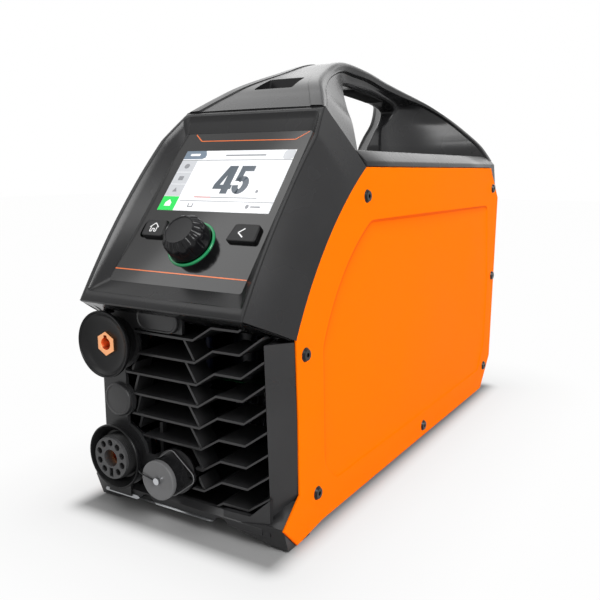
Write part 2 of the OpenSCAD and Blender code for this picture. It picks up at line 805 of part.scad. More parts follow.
module rear_panel() {
    color([0.16, 0.16, 0.17]) difference() {
        along_y(rear_plate_y, rear_plate_y + rear_plate_t) {
            translate([0, 135.5]) round_rect(2 * (in_x - 0.9 - gap) - 13 - 2 * gap, 231 - 2 * gap, 10);
        }
        translate([0, rear_plate_y - 1, fan_z]) rotate([-90, 0, 0]) cylinder(r = fan_size / 2 - 3, h = 6, $fn = 72);
        for (x = [-1, 1]) {
            for (z = [-1, 1]) {
                translate([x * (fan_size / 2 - 7.5), rear_plate_y - 1, fan_z + z * (fan_size / 2 - 7.5)]) {
                    rotate([-90, 0, 0]) cylinder(r = 2.2, h = 6);
                }
            }
        }
        on_rear(50, duct_z) translate([0, 0, -5]) cylinder(r = cable_d / 2 + 4.6, h = 10);
        on_rear(-62, 172) translate([0, 0, -5]) cylinder(r = 8.3, h = 10);
        on_rear(-30, duct_z) translate([0, 0, -5]) linear_extrude(10) square([27, 35], center = true);
    }
}
// The frame of a rear fitting: z points out of the rear plate, x runs to the right of the case
module on_rear(x, z) {
    translate([x, rear_plate_y + rear_plate_t, z]) rotate([-90, 0, 0]) children();
}

// Front sockets ------------------------------------------------------------

module earth_socket_body() {
    r = earth_d / 2;
    color(slat_black) on_plate(col_x, earth_z) difference() {
        union() {
            cylinder(r = r - 6.5, h = 11);
            translate([0, 0, 9]) cylinder(r1 = r - 6.5, r2 = r, h = 4.5);
            translate([0, 0, 13.5]) cylinder(r = r, h = 2.5);
            translate([0, 0, -20]) cylinder(r = earth_pin / 2 + 9, h = 20);
        }
        translate([0, 0, 13]) cylinder(r1 = r - 9, r2 = r - 1.8, h = 3.1);
        translate([0, 0, -25]) cylinder(r = earth_pin / 2 + 5.3, h = 50);
    }
}
module earth_socket_contact() {
    r = earth_pin / 2;
    color(copper) on_plate(col_x, earth_z) difference() {
        union() {
            translate([0, 0, -20]) cylinder(r = r + 5.2, h = 28);
            translate([0, 0, 8]) cylinder(r = r + 4.2, h = 9, $fn = 6);
            translate([0, 0, -32]) cylinder(r = 6, h = 12);
        }
        translate([0, 0, -16]) cylinder(r = r + 0.05, h = 40, $fn = 64);
        translate([-1.6, 0, -8]) cube([3.2, r + 2, 40]);
    }
}
module earth_socket_nut() {
    color(steel) on_plate(col_x, earth_z) translate([0, 0, -10]) difference() {
        rotate(30) cylinder(r = earth_pin / 2 + 13, h = 7, $fn = 6);
        translate([0, 0, -1]) cylinder(r = earth_pin / 2 + 9 + run_c, h = 9);
    }
}
module round_blank_cap() {
    color([0.17, 0.17, 0.18]) on_plate(col_x, blank_z) {
        cylinder(r1 = blank_d / 2, r2 = blank_d / 2 - 0.6, h = 3.5);
        translate([0, 0, -6]) cylinder(r = blank_d / 2 - 3.5, h = 6);
    }
}
module oblong_blank_cap() {
    color([0.17, 0.17, 0.18]) on_plate(-15.5, 156) {
        linear_extrude(3.5) round_rect(39, 18, 8.9);
        translate([0, 0, -6]) linear_extrude(6) round_rect(31.4, 10.4, 5.1);
    }
}
module torch_socket_ring() {
    r = torch_d / 2;
    color(shell_grey) on_plate(col_x, torch_z) difference() {
        union() {
            cylinder(r = r - 4.5, h = 5);
            translate([0, 0, 3]) cylinder(r1 = r - 4.5, r2 = r, h = 5);
            translate([0, 0, 8]) cylinder(r = r, h = 2.5);
            translate([0, 0, -17]) cylinder(r = r - 6, h = 17);
        }
        translate([0, 0, 2]) cylinder(r = r - 5.7, h = 12);
        translate([0, 0, 6.5]) cylinder(r1 = r - 5.7, r2 = r - 1.6, h = 4.1);
        translate([0, 0, -20]) cylinder(r = r - 8.4, h = 40);
    }
}
module torch_socket_insulator() {
    r = torch_d / 2 - 8.5;
    color([0.20, 0.20, 0.21]) on_plate(col_x, torch_z) difference() {
        translate([0, 0, -20]) cylinder(r = r, h = 33);
        translate([0, 0, -21]) cylinder(r = 6.8, h = 40);
        for (i = [0:8]) {
            rotate(90 + 36 * (i - 4)) translate([r - 4.3, 0, -21]) cylinder(r = 1.9, h = 40);
        }
        translate([-2, -r + 1.5, 4]) cube([4, 7, 10]);
    }
}
module torch_socket_contact() {
    color(copper) on_plate(col_x, torch_z) translate([0, 0, -26]) difference() {
        cylinder(r = 6.75, h = 32);
        translate([0, 0, 8]) cylinder(r = 4.8, h = 40, $fn = 64);
    }
}
module torch_socket_pins() {
    color(copper) on_plate(col_x, torch_z) for (i = [0:8]) {
        rotate(90 + 36 * (i - 4)) translate([torch_d / 2 - 12.8, 0, -24]) cylinder(r = 1.85, h = 28);
    }
}
module torch_socket_nut() {
    color(steel) on_plate(col_x, torch_z) translate([0, 0, -10]) difference() {
        rotate(30) cylinder(r = torch_d / 2 - 1, h = 7, $fn = 6);
        translate([0, 0, -1]) cylinder(r = torch_d / 2 - 6 + run_c, h = 9);
    }
}
module signal_socket() {
    r = signal_d / 2;
    color(slat_black) on_plate(-signal_in, signal_z) difference() {
        union() {
            linear_extrude(2.5) signal_flange(0);
            cylinder(r = r - 0.9, h = 14);
            translate([0, 0, -16]) cylinder(r = r - 2.9, h = 16);
        }
        translate([0, 0, 4]) cylinder(r = r - 3, h = 12);
        for (x = [-17.7, 17.7]) {
            translate([x, 0, -1]) cylinder(r = 1.4, h = 5);
        }
    }
}
module signal_cap() {
    r = signal_d / 2;
    color([0.45, 0.45, 0.46]) on_plate(-signal_in, signal_z) difference() {
        translate([0, 0, 11]) cylinder(r = r, h = 7.5);
        translate([0, 0, 10]) cylinder(r = r - 0.8, h = 5);
        translate([0, 0, 12]) cylinder(r = 1.55, h = 8);
    }
}
module signal_cap_screw() {
    color(steel) on_plate(-signal_in, signal_z) {
        translate([0, 0, 18.5]) cylinder(r = 2.6, h = 1.6);
        translate([0, 0, 15.5]) cylinder(r = 1.5, h = 3);
    }
}
// The lanyard runs from the cap's screw over its edge and back to the socket plate
module signal_cap_tether() {
    route = rounded([
        [-3, 0, 19.3], [-17.6, 3, 19.5], [-19.8, 4, 16], [-19.6, 5, 8], [-18.6, 6, 0.7]
    ], 2.5, 3);
    color([0.35, 0.35, 0.36]) on_plate(-signal_in, signal_z) tube(route, 0.6, 8);
}

// Rear fittings ------------------------------------------------------------

module fan_guard() {
    color(slat_black) translate([0, rear_plate_y + rear_plate_t, fan_z]) rotate([-90, 0, 0]) {
        for (r = [16:10:fan_size / 2 - 4]) {
            rotate_extrude($fn = 64) translate([r, 2]) circle(1, $fn = 16);
        }
        difference() {
            cylinder(r = 13, h = 2.6);
            translate([0, 0, -1]) cylinder(r = 9, h = 5);
        }
        for (a = [45:90:315]) {
            rotate(a) translate([12, -1.2, 0]) cube([(fan_size / 2 - 7.5) * sqrt(2) - 15, 2.4, 1.5]);
            rotate(a) translate([(fan_size / 2 - 7.5) * sqrt(2), 0, 0]) difference() {
                cylinder(r = 4.5, h = 1.5);
                translate([0, 0, -1]) cylinder(r = 2.2, h = 4);
            }
        }
    }
}
module fan_frame() {
    r = fan_size / 2;
    color([0.12, 0.12, 0.13]) translate([0, rear_plate_y - fan_t, fan_z]) rotate([-90, 0, 0]) {
        difference() {
            linear_extrude(fan_t) round_rect(fan_size, fan_size, 6);
            translate([0, 0, -1]) cylinder(r = r - 2, h = fan_t + 2, $fn = 72);
            for (a = [45:90:315]) {
                rotate(a) translate([(r - 7.5) * sqrt(2), 0, -1]) cylinder(r = 2.2, h = fan_t + 2);
            }
        }
        difference() {
            union() {
                cylinder(r = 20, h = 4);
                for (a = [0:90:270]) {
                    rotate(a) translate([18, -3, 0]) cube([r - 19, 6, 4]);
                }
                cylinder(r = 4, h = 12);
            }
        }
        cylinder(r = 1.5, h = fan_t - 8);
    }
}
module fan_rotor() {
    r = fan_size / 2;
    color([0.18, 0.18, 0.19]) translate([0, rear_plate_y - fan_t, fan_z]) rotate([-90, 0, 0]) {
        difference() {
            union() {
                translate([0, 0, 5]) cylinder(r = 21, h = fan_t - 8);
                for (a = [0:360 / 7:359]) {
                    rotate(a) translate([19, 0, fan_t / 2 + 1]) rotate([38, 0, 0]) {
                        translate([0, -1.2, -12]) cube([r - 24.5, 2.4, 24]);
                    }
                }
            }
            translate([0, 0, 4]) cylinder(r = 1.5 + run_c, h = fan_t - 11);
            translate([0, 0, 4]) cylinder(r = 4.4, h = 9);
        }
    }
}
module fan_screws() {
    color(steel) translate([0, rear_plate_y + rear_plate_t + 1.5, fan_z]) rotate([-90, 0, 0]) {
        for (a = [45:90:315]) {
            rotate(a) translate([(fan_size / 2 - 7.5) * sqrt(2), 0, 0]) {
                cylinder(r1 = 4, r2 = 3.2, h = 2.2);
                translate([0, 0, -22]) cylinder(r = 2.1, h = 22);
            }
        }
    }
}
module power_switch_body() {
    color(slat_black) on_rear(-30, duct_z) difference() {
        union() {
            linear_extrude(2) square([31, 39], center = true);
            translate([0, 0, -26]) linear_extrude(26) square([26.4, 34.4], center = true);
        }
        translate([0, 0, -8]) linear_extrude(12) square([22.6, 30.6], center = true);
        translate([-14, 0, 0.5]) rotate([0, 90, 0]) cylinder(r = 1.05, h = 28);
    }
}
module power_switch_rocker() {
    color([0.75, 0.08, 0.05]) on_rear(-30, duct_z) difference() {
        union() {
            along_x(-11, 11) polygon([[-14, 1.2], [-14, 4.2], [0, 1.4], [14, 1.4], [14, -1.6], [7, -4], [0, -6], [-7, -3]]);
            translate([-13.5, 0, 0.5]) rotate([0, 90, 0]) cylinder(r = 1, h = 27);
        }
    }
}
module cable_gland() {
    r = cable_d / 2;
    color(slat_black) on_rear(50, duct_z) difference() {
        union() {
            cylinder(r = r + 8.5, h = 6, $fn = 6);
            translate([0, 0, 6]) cylinder(r1 = r + 7, r2 = r + 3.5, h = 14);
            translate([0, 0, -14]) cylinder(r = r + 4.4, h = 14);
        }
        translate([0, 0, -20]) cylinder(r = r + 0.1, h = 50, $fn = 64);
    }
}
module cable_gland_nut() {
    r = cable_d / 2;
    color(slat_black) on_rear(50, duct_z) translate([0, 0, -rear_plate_t - 6]) difference() {
        cylinder(r = r + 9, h = 6, $fn = 6);
        translate([0, 0, -1]) cylinder(r = r + 4.5, h = 9);
    }
}
module air_inlet() {
    color([0.78, 0.66, 0.35]) on_rear(-62, 172) difference() {
        union() {
            cylinder(r = 12.5, h = 7, $fn = 6);
            translate([0, 0, 7]) cylinder(r = 6.2, h = 17);
            translate([0, 0, 19]) cylinder(r = 7.4, h = 3);
            translate([0, 0, -16]) cylinder(r = 8, h = 16);
        }
        translate([0, 0, -20]) cylinder(r = hose_d / 2 - 0.5, h = 50);
    }
}

// Inside -------------------------------------------------------------------

sink_x = 9;
sink_w = 60;
sink_y = -62;
sink_l = 116;
sink_h = 48;
module heatsinks() {
    color([0.78, 0.79, 0.80]) both_sides() translate([sink_x, sink_y, pan_top]) difference() {
        cube([sink_w, sink_l, sink_h]);
        for (i = [0:6]) {
            translate([4 + 8 * i, -1, 4]) cube([5, sink_l + 2, sink_h - 14]);
        }
    }
}
module power_modules() {
    color([0.10, 0.10, 0.10]) both_sides() for (y = [sink_y + 8:36:sink_y + 90]) {
        translate([sink_x + 14, y, pan_top + sink_h]) cube([32, 22, 7]);
        for (dx = [6, 16, 26]) {
            translate([sink_x + 14 + dx, y + 11, pan_top + sink_h + 7]) {
                cylinder(r = 1, h = board_z - pan_top - sink_h - 7);
            }
        }
    }
}
module board_posts() {
    color(steel) both_sides() for (y = [-98, -20, 62]) {
        translate([76, y, pan_top]) cylinder(r = 3.2, h = board_z - pan_top, $fn = 6);
    }
}
module main_board() {
    color([0.05, 0.32, 0.18]) translate([-80, -104, board_z]) cube([160, 172, board_t]);
}
module bus_capacitors() {
    color([0.10, 0.14, 0.30]) for (x = [-38, 0, 38]) {
        for (y = [-80, -42]) {
            translate([x, y, board_z + board_t]) cylinder(r = 17, h = 45);
        }
    }
}
module pfc_choke() {
    color([0.75, 0.38, 0.15]) translate([-34, 22, board_z + board_t]) difference() {
        cylinder(r = 31, h = 26);
        translate([0, 0, -1]) cylinder(r = 12, h = 30);
    }
}
module transformer_core() {
    color([0.22, 0.22, 0.24]) translate([-34, 82, pan_top]) difference() {
        cube([66, 42, 60]);
        for (x = [10, 40]) {
            translate([x, -1, 11]) cube([16, 44, 38]);
        }
    }
}
module transformer_winding() {
    color([0.85, 0.70, 0.25]) translate([-34, 82, pan_top]) difference() {
        translate([10.4, -10, 11.4]) cube([45.2, 62, 37.2]);
        translate([25.7, -0.3, 0]) cube([14.6, 42.6, 60]);
    }
}
module output_choke() {
    color([0.55, 0.28, 0.12]) translate([62, 100, pan_top]) difference() {
        cylinder(r = 23, h = 44);
        translate([0, 0, -1]) cylinder(r = 9, h = 50);
    }
}
module filter_board() {
    color([0.05, 0.32, 0.18]) translate([36, 22, board_z + board_t]) {
        cube([34, 40, 1.6]);
        translate([3, 4, 1.6]) cube([28, 32, 22]);
    }
}
module air_regulator() {
    color([0.62, 0.63, 0.65]) translate([-62, 120, pan_top]) {
        cylinder(r = 14, h = 34);
        translate([-17, -17, 34]) cube([34, 34, 26]);
        translate([0, 0, 60]) cylinder(r = 13, h = 18);
    }
}
module solenoid_valve() {
    color([0.15, 0.15, 0.16]) translate([-62, -138, pan_top]) {
        translate([-14, -14, 0]) cube([28, 28, 3]);
        translate([-10, -10, 3]) cube([20, 20, 42]);
        translate([-13, -13, 45]) cube([26, 26, 32]);
    }
}
// Air line: rear inlet to regulator, regulator to valve, valve to torch socket
module air_hoses() {
    r = hose_d / 2;
    inlet = [-62, rear_plate_y + rear_plate_t - 16, 172];
    color([0.10, 0.20, 0.55]) {
        tube(rounded([inlet, [-62, 137 + 10, 172], [-62, 147, 59], [-62, 137, 59]], 8), r, 8);
        tube(rounded([[-62, 103, 59], [-62, 92, 59], [-62, 92, 150], [-62, -110, 150], [-62, -110, 70],
            [-62, -125, 70]], 8), r, 8);
        tube(rounded([[-62, -151, 70], [-62, -165, 70], [col_x, -175, torch_z],
            [col_x, plate_y + 26, torch_z]], 6), r, 8);
    }
}

front_bezel();
front_frame();
front_grille();
top_cover();
handle_insert();
handle_screws();
side_panel_right();
side_panel_left();
base_pan();
rubber_feet();
rear_frame();
rear_panel();
display_glass();
display_module();
control_board();
encoder_body();
encoder_shaft();
control_knob();
knob_light_ring();
home_button();
back_button();
button_switches();
earth_socket_body();
earth_socket_contact();
earth_socket_nut();
torch_socket_ring();
torch_socket_insulator();
torch_socket_contact();
torch_socket_pins();
torch_socket_nut();
signal_socket();
signal_cap();
signal_cap_screw();
signal_cap_tether();
round_blank_cap();
oblong_blank_cap();
fan_guard();
fan_frame();
fan_rotor();
power_switch_body();
power_switch_rocker();
cable_gland();
cable_gland_nut();
air_inlet();
heatsinks();
power_modules();
board_posts();
main_board();
bus_capacitors();
pfc_choke();
transformer_core();
transformer_winding();
output_choke();
air_regulator();
solenoid_valve();
air_hoses();
filter_board();
side_screws_right();
side_screws_left();
fan_screws();
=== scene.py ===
import math
import bmesh
import bpy
import numpy as np
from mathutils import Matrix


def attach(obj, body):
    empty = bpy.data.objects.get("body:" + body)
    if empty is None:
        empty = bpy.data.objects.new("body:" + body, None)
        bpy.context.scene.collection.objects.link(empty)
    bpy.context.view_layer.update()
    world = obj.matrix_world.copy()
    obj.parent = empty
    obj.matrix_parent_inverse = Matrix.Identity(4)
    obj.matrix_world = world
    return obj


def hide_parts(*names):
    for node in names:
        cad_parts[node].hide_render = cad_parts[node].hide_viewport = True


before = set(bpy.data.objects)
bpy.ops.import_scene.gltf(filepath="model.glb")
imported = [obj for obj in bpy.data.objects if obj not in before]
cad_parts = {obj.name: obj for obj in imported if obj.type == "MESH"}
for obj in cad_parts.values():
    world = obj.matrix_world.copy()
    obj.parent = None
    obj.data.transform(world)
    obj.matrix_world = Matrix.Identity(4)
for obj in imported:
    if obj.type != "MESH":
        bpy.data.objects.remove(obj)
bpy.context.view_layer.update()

# View and stage ------------
# The camera stands 0.26 m up and looks down at the unit's front right corner. The floor is a pale sheet; wide
# lamps high on the left and on the right and weak ones behind and in front give soft studio light.

view = bpy.data.cameras.new("view")
view.lens = 42.474
view.sensor_width = 36
camera = bpy.data.objects.new("view", view)
camera.location = (0.3329, -0.5984, 0.2620)
camera.rotation_euler = (math.radians(90 - 10.37), 0, math.radians(31.42))
scene = bpy.context.scene
scene.collection.objects.link(camera)
scene.camera = camera
scene.view_settings.view_transform = "Standard"


def lamp(name, place, aim, width, height, watts):
    """An area lamp at `place`, turned so that its own -Z points at `aim`."""
    data = bpy.data.lights.new(name, "AREA")
    data.shape = "RECTANGLE"
    data.size, data.size_y, data.energy = width, height, watts
    obj = bpy.data.objects.new(name, data)
    way = np.array(aim, float) - np.array(place, float)
    tilt = math.atan2(math.hypot(way[0], way[1]), -way[2])
    obj.location = place
    obj.rotation_euler = (tilt, 0, math.atan2(way[1], way[0]) - math.pi / 2)
    scene.collection.objects.link(obj)


lamp("left_top", (-0.89, -1.03, 2.06), (0, -0.15, 0.2), 1.4, 1.4, 12)
lamp("back_left", (-1.30, 1.10, 1.90), (0, 0, 0.3), 1.3, 1.3, 5)
lamp("behind", (-0.42, 1.72, 1.02), (0, 0, 0.27), 1.5, 0.9, 4.5)
lamp("right", (2.25, -0.65, 1.65), (0, 0, 0.15), 1.2, 1.2, 62)
lamp("front", (0.1, -2.4, 1.3), (0, -0.2, 0.15), 1.4, 1.0, 6)

world = bpy.data.worlds.new("studio")
scene.world = world
world.use_nodes = True
sky_nodes, sky_links = world.node_tree.nodes, world.node_tree.links
sky = sky_nodes["Background"]
sky.inputs["Color"].default_value = (1, 1, 1, 1)
sky.inputs["Strength"].default_value = 0.22
plain = sky_nodes.new("ShaderNodeBackground")
plain.inputs["Color"].default_value = (1, 1, 1, 1)
plain.inputs["Strength"].default_value = 1.0


def shown_rays(nodes, links):
    """1 for rays from the camera, a gloss or a glass, 0 for all others: the sum of the three, cut at 1."""
    rays = nodes.new("ShaderNodeLightPath")
    first = nodes.new("ShaderNodeMath")
    second = nodes.new("ShaderNodeMath")
    first.use_clamp = second.use_clamp = True
    links.new(rays.outputs["Is Camera Ray"], first.inputs[0])
    links.new(rays.outputs["Is Glossy Ray"], first.inputs[1])
    links.new(first.outputs[0], second.inputs[0])
    links.new(rays.outputs["Is Transmission Ray"], second.inputs[1])
    return second.outputs[0]


either = sky_nodes.new("ShaderNodeMixShader")
sky_links.new(shown_rays(sky_nodes, sky_links), either.inputs[0])
sky_links.new(sky.outputs[0], either.inputs[1])
sky_links.new(plain.outputs[0], either.inputs[2])
sky_links.new(either.outputs[0], sky_nodes["World Output"].inputs["Surface"])

floor_mesh = bpy.data.meshes.new("floor")
floor_mesh.from_pydata([(-6, -6, 0), (6, -6, 0), (6, 6, 0), (-6, 6, 0)], [], [(0, 1, 2, 3)])
floor = bpy.data.objects.new("floor", floor_mesh)
scene.collection.objects.link(floor)
pale = bpy.data.materials.new("pale_sheet")
pale.use_nodes = True
floor_nodes, floor_links = pale.node_tree.nodes, pale.node_tree.links
sheet = floor_nodes["Principled BSDF"]
sheet.inputs["Base Color"].default_value = (0.9, 0.9, 0.9, 1)
sheet.inputs["Roughness"].default_value = 0.6
sheet.inputs["Specular IOR Level"].default_value = 0.1
painted_shade = floor_nodes.new("ShaderNodeBsdfDiffuse")
painted_shade.inputs["Color"].default_value = (0.33, 0.33, 0.33, 1)
# near the unit the camera sees a darker diffuse, painted shade that deepens the sheet's real shadow; it
# passes into plain white over fade_width round the unit's footprint; the distance beyond the footprint is the
# length of max(|place| - half the footprint, 0)
footprint_half = (0.086, 0.236, 0)
fade_width = 0.13
spot = floor_nodes.new("ShaderNodeTexCoord").outputs["Object"]
for operation, other in (("ABSOLUTE", None), ("SUBTRACT", footprint_half), ("MAXIMUM", (0, 0, 0)),
                         ("LENGTH", None)):
    step = floor_nodes.new("ShaderNodeVectorMath")
    step.operation = operation
    if other:
        step.inputs[1].default_value = other
    floor_links.new(spot, step.inputs[0])
    spot = step.outputs["Value" if operation == "LENGTH" else "Vector"]
fade = floor_nodes.new("ShaderNodeMapRange")
fade.inputs["From Min"].default_value = 0.0
fade.inputs["From Max"].default_value = fade_width
floor_links.new(spot, fade.inputs["Value"])
paler = floor_nodes.new("ShaderNodeValToRGB")
paler.color_ramp.interpolation = "B_SPLINE"
for fade_share, value in ((0.03, 0.05), (0.10, 0.66), (0.17, 0.85), (0.45, 0.92)):
    paler.color_ramp.elements.new(fade_share).color = (value, value, value, 1)
paler.color_ramp.elements[0].color = (0, 0, 0, 1)
paler.color_ramp.elements[-1].color = (1, 1, 1, 1)
floor_links.new(fade.outputs["Result"], paler.inputs["Fac"])
whole_white = floor_nodes.new("ShaderNodeEmission")
edge_mix = floor_nodes.new("ShaderNodeMixShader")
floor_links.new(paler.outputs["Color"], edge_mix.inputs[0])
floor_links.new(painted_shade.outputs[0], edge_mix.inputs[1])
floor_links.new(whole_white.outputs[0], edge_mix.inputs[2])
gate = floor_nodes.new("ShaderNodeMixShader")
floor_links.new(shown_rays(floor_nodes, floor_links), gate.inputs[0])
floor_links.new(sheet.outputs[0], gate.inputs[1])
floor_links.new(edge_mix.outputs[0], gate.inputs[2])
floor_links.new(gate.outputs[0], floor_nodes["Material Output"].inputs["Surface"])
floor_mesh.materials.append(pale)

# Top cover with its handle ------------
# One injection moulding in charcoal polypropylene: a flat deck with bevelled shoulders, and a handle
# that rises from the panel's rim as a wide arch, narrows over the hand and flares out to the rear corners.


def tone(r, g, b):
    """A screen colour, 0 to 255, as the linear colour that a shader takes."""
    c = np.array([r, g, b]) / 255
    lin = np.where(c <= 0.04045, c / 12.92, ((c + 0.055) / 1.055) ** 2.4)
    return (*lin.tolist(), 1)


def finish_of(name, colour, rough, spread=0.05, drift=0.12, cloud=22, grain=900, height=0.02, metal=0.0,
              level=0.5):
    """A surface whose colour drifts by `drift` and whose roughness drifts by `spread` with a cloud
    noise of the place, and whose fine grain stands `height` mm high."""
    m = bpy.data.materials.new(name)
    m.use_nodes = True
    nodes, link = m.node_tree.nodes, m.node_tree.links.new
    skin = nodes["Principled BSDF"]
    skin.inputs["Metallic"].default_value = metal
    skin.inputs["Specular IOR Level"].default_value = level
    place = nodes.new("ShaderNodeTexCoord")
    clouds = nodes.new("ShaderNodeTexNoise")
    clouds.inputs["Scale"].default_value = cloud
    clouds.inputs["Detail"].default_value = 3
    link(place.outputs["Object"], clouds.inputs["Vector"])
    shade = nodes.new("ShaderNodeValToRGB")
    shade.color_ramp.elements[0].position = 0.3
    shade.color_ramp.elements[1].position = 0.7
    shade.color_ramp.elements[0].color = (*[c * (1 - drift) for c in colour[:3]], 1)
    shade.color_ramp.elements[1].color = (*[min(c * (1 + drift), 1) for c in colour[:3]], 1)
    link(clouds.outputs["Fac"], shade.inputs["Fac"])
    link(shade.outputs["Color"], skin.inputs["Base Color"])
    dull = nodes.new("ShaderNodeMapRange")
    dull.inputs["From Min"].default_value = 0.3
    dull.inputs["From Max"].default_value = 0.7
    dull.inputs["To Min"].default_value = max(rough - spread, 0.01)
    dull.inputs["To Max"].default_value = min(rough + spread, 1)
    link(clouds.outputs["Fac"], dull.inputs["Value"])
    link(dull.outputs["Result"], skin.inputs["Roughness"])
    if height > 0:
        speck = nodes.new("ShaderNodeTexNoise")
        speck.inputs["Scale"].default_value = grain
        speck.inputs["Detail"].default_value = 2
        link(place.outputs["Object"], speck.inputs["Vector"])
        rise = nodes.new("ShaderNodeBump")
        rise.inputs["Strength"].default_value = 1.0
        rise.inputs["Distance"].default_value = height * 0.001
        link(speck.outputs["Fac"], rise.inputs["Height"])
        link(rise.outputs["Normal"], skin.inputs["Normal"])
    return m


def add_piece(name, spots, faces, finish, slot, body="case", stands_for=(), crisp=30, closed=True):
    """A mesh from places in millimetres and faces. Doubles are merged and the faces of a closed
    piece turned outwards; edges bent by more than `crisp` degrees stay sharp."""
    shape = bmesh.new()
    mesh = bpy.data.meshes.new(name)
    mesh.from_pydata((np.asarray(spots, float).reshape(-1, 3) * 0.001).tolist(), [], faces)
    shape.from_mesh(mesh)
    bmesh.ops.remove_doubles(shape, verts=shape.verts, dist=2e-6)
    bmesh.ops.dissolve_degenerate(shape, edges=shape.edges, dist=1e-7)
    if closed:
        bmesh.ops.recalc_face_normals(shape, faces=shape.faces)
    shape.to_mesh(mesh)
    shape.free()
    mesh.polygons.foreach_set("use_smooth", np.ones(len(mesh.polygons), bool))
    mesh.set_sharp_from_angle(angle=math.radians(crisp))
    mesh.materials.append(finish)
    piece = bpy.data.objects.new(name, mesh)
    scene.collection.objects.link(piece)
    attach(piece, body)
    if stands_for:
        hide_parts(*stands_for)
    return piece


def quads(rows, cols, around=False):
    """Faces between neighbouring rows and columns of a grid; `around` joins the last column to the first."""
    i = np.arange(rows - 1)[:, None]
    j = np.arange(cols if around else cols - 1)[None, :]
    k = (j + 1) % cols
    four = np.stack([i * cols + j + 0 * k, i * cols + k, (i + 1) * cols + k, (i + 1) * cols + j], axis=-1)
    return four.reshape(-1, 4).tolist()


def lofted(rings):
    """Faces of a closed body through equal rings, with a flat cap at each end."""
    rows, cols = rings.shape[:2]
    last = (rows - 1) * cols
    return quads(rows, cols, True) + [list(range(cols))[::-1], list(range(last, last + cols))]


def through(rows, steps):
    """Catmull-Rom curve through the rows: 0.5 (2b + (d-a)t + (2a-5b+4d-e)t^2 + (3b-a-3d+e)t^3)."""
    n = len(rows) - 1
    s = np.linspace(0, n, n * steps + 1)
    k = np.minimum(s.astype(int), n - 1)
    t = (s - k)[:, None]
    a, b, d, e = (rows[np.clip(k + i, 0, n)] for i in (-1, 0, 1, 2))
    squared, cubed = 2 * a - 5 * b + 4 * d - e, 3 * b - a - 3 * d + e
    return 0.5 * (2 * b + (d - a) * t + squared * t ** 2 + cubed * t ** 3)


def carve(piece, tool, crisp):
    """Takes the tool's form out of a piece by an exact boolean, whose result becomes the piece's own mesh."""
    step = piece.modifiers.new("cut", "BOOLEAN")
    step.operation, step.object, step.solver = "DIFFERENCE", tool, "EXACT"
    bpy.context.view_layer.update()
    result = bpy.data.meshes.new_from_object(piece.evaluated_get(bpy.context.evaluated_depsgraph_get()))
    piece.modifiers.clear()
    piece.data = result
    result.set_sharp_from_angle(angle=math.radians(crisp))
    bpy.data.objects.remove(tool)


charcoal = finish_of("charcoal_plastic", tone(32, 32, 33), 0.27, spread=0.015, grain=700, height=0.0025,
                     level=0.26)
black_plastic = finish_of("black_plastic", tone(22, 22, 23), 0.36, spread=0.04, grain=700, height=0.008,
                          level=0.25)

deck_z = 277.5
cover_front, cover_rear, cover_floor = -106.0, 213.0, 266
handle_start, handle_run = -125.4, 338.4
crest_radius = 4
# share of the run, half width and height of the upper edge; share, half width and height of the lower edge
stations = np.array([
    [0.000, 66, 309.5, 0.088, 80, 270], [0.055, 54, 321.5, 0.162, 62, 297],
    [0.112, 42, 332.5, 0.235, 44, 312], [0.212, 29, 345, 0.304, 27, 331],
    [0.342, 20.5, 357.2, 0.366, 17, 338], [0.489, 20.5, 355, 0.451, 16, 337.5],
    [0.619, 20.5, 349, 0.575, 15, 335], [0.737, 24, 342.7, 0.690, 13, 331],
    [0.826, 27, 338, 0.743, 9.5, 325], [0.885, 35, 331, 0.727, 6.5, 316],
    [0.956, 50, 317, 0.688, 5, 306], [0.9945, 66, 302, 0.664, 8, 292],
    [1.027, 78, 288.5, 0.656, 10.5, 283], [1.060, 86.5, 273, 0.648, 12, 262]])
last_station = len(stations) - 1
course = through(stations, 12)
at_station = np.linspace(0, last_station, len(course))
top = np.stack([handle_start + handle_run * course[:, 0], course[:, 2]], 1)
low = np.stack([handle_start + handle_run * course[:, 3], course[:, 5]], 1)
reach = np.linalg.norm(low - top, axis=1)[:, None]
down = (low - top) / reach
top_half, low_half = course[:, 1:2], course[:, 4:5]
# the flank: how far it lies back, how far the lip over it stands out, and the height of the band above it
recess = np.interp(at_station, [0, 3.2, 5, 11.5, last_station], [0, 0, 3.4, 3.4, 1.2])[:, None]
lip_out = np.interp(at_station, [0, 2.6, 4, 11.5, last_station], [0, 0, 0.9, 0.9, 0.2])[:, None]
band = np.interp(at_station, [0, 4, 6, last_station], [8, 8, 9.5, 9.5])[:, None]
hollow = 0.2 * np.maximum(top_half - low_half, 0)
margin = np.minimum(13, 0.42 * top_half)
inner = top_half - margin
bend = np.radians(np.array([90, 68, 45, 22, 0]))[None, :]
share = np.linspace(0, 1, 12)[None, 1:]
none = 0 * top_half
across = np.concatenate([
    none, inner * 0.5, inner * 0.9, inner - 0.2, inner + 0.9, inner + 0.35 * margin,
    top_half - crest_radius + crest_radius * np.cos(bend), top_half - 0.3 - lip_out, top_half - 0.2,
    top_half - 0.5 - 0.3 * recess, top_half - 1.1 - recess,
    (top_half - 1.1 - recess) * (1 - share) + low_half * share - hollow * np.sin(np.pi * share),
    low_half - 1.2, low_half - 3, low_half * 0.4, none], axis=1)
depth = np.concatenate([
    none - 0.6, none - 0.5, none - 0.3, none - 0.2, none - 1.2, none - 1.1,
    3.1 - crest_radius * np.sin(bend) + none, band - 1.6, band - 0.5, band + 0.4, band + 1.3,
    (band + 1.6) * (1 - share) + (reach - 3) * share,
    reach - 0.9, reach, reach, reach], axis=1)
yz = top[:, None, :] + depth[:, :, None] * down[:, None, :]
half_ring = np.concatenate([across[:, :, None], yz], axis=2)
ring = np.concatenate([half_ring, half_ring[:, -2:0:-1] * [-1, 1, 1]], axis=1)
ring[:, :, 2] = np.maximum(ring[:, :, 2], cover_floor)
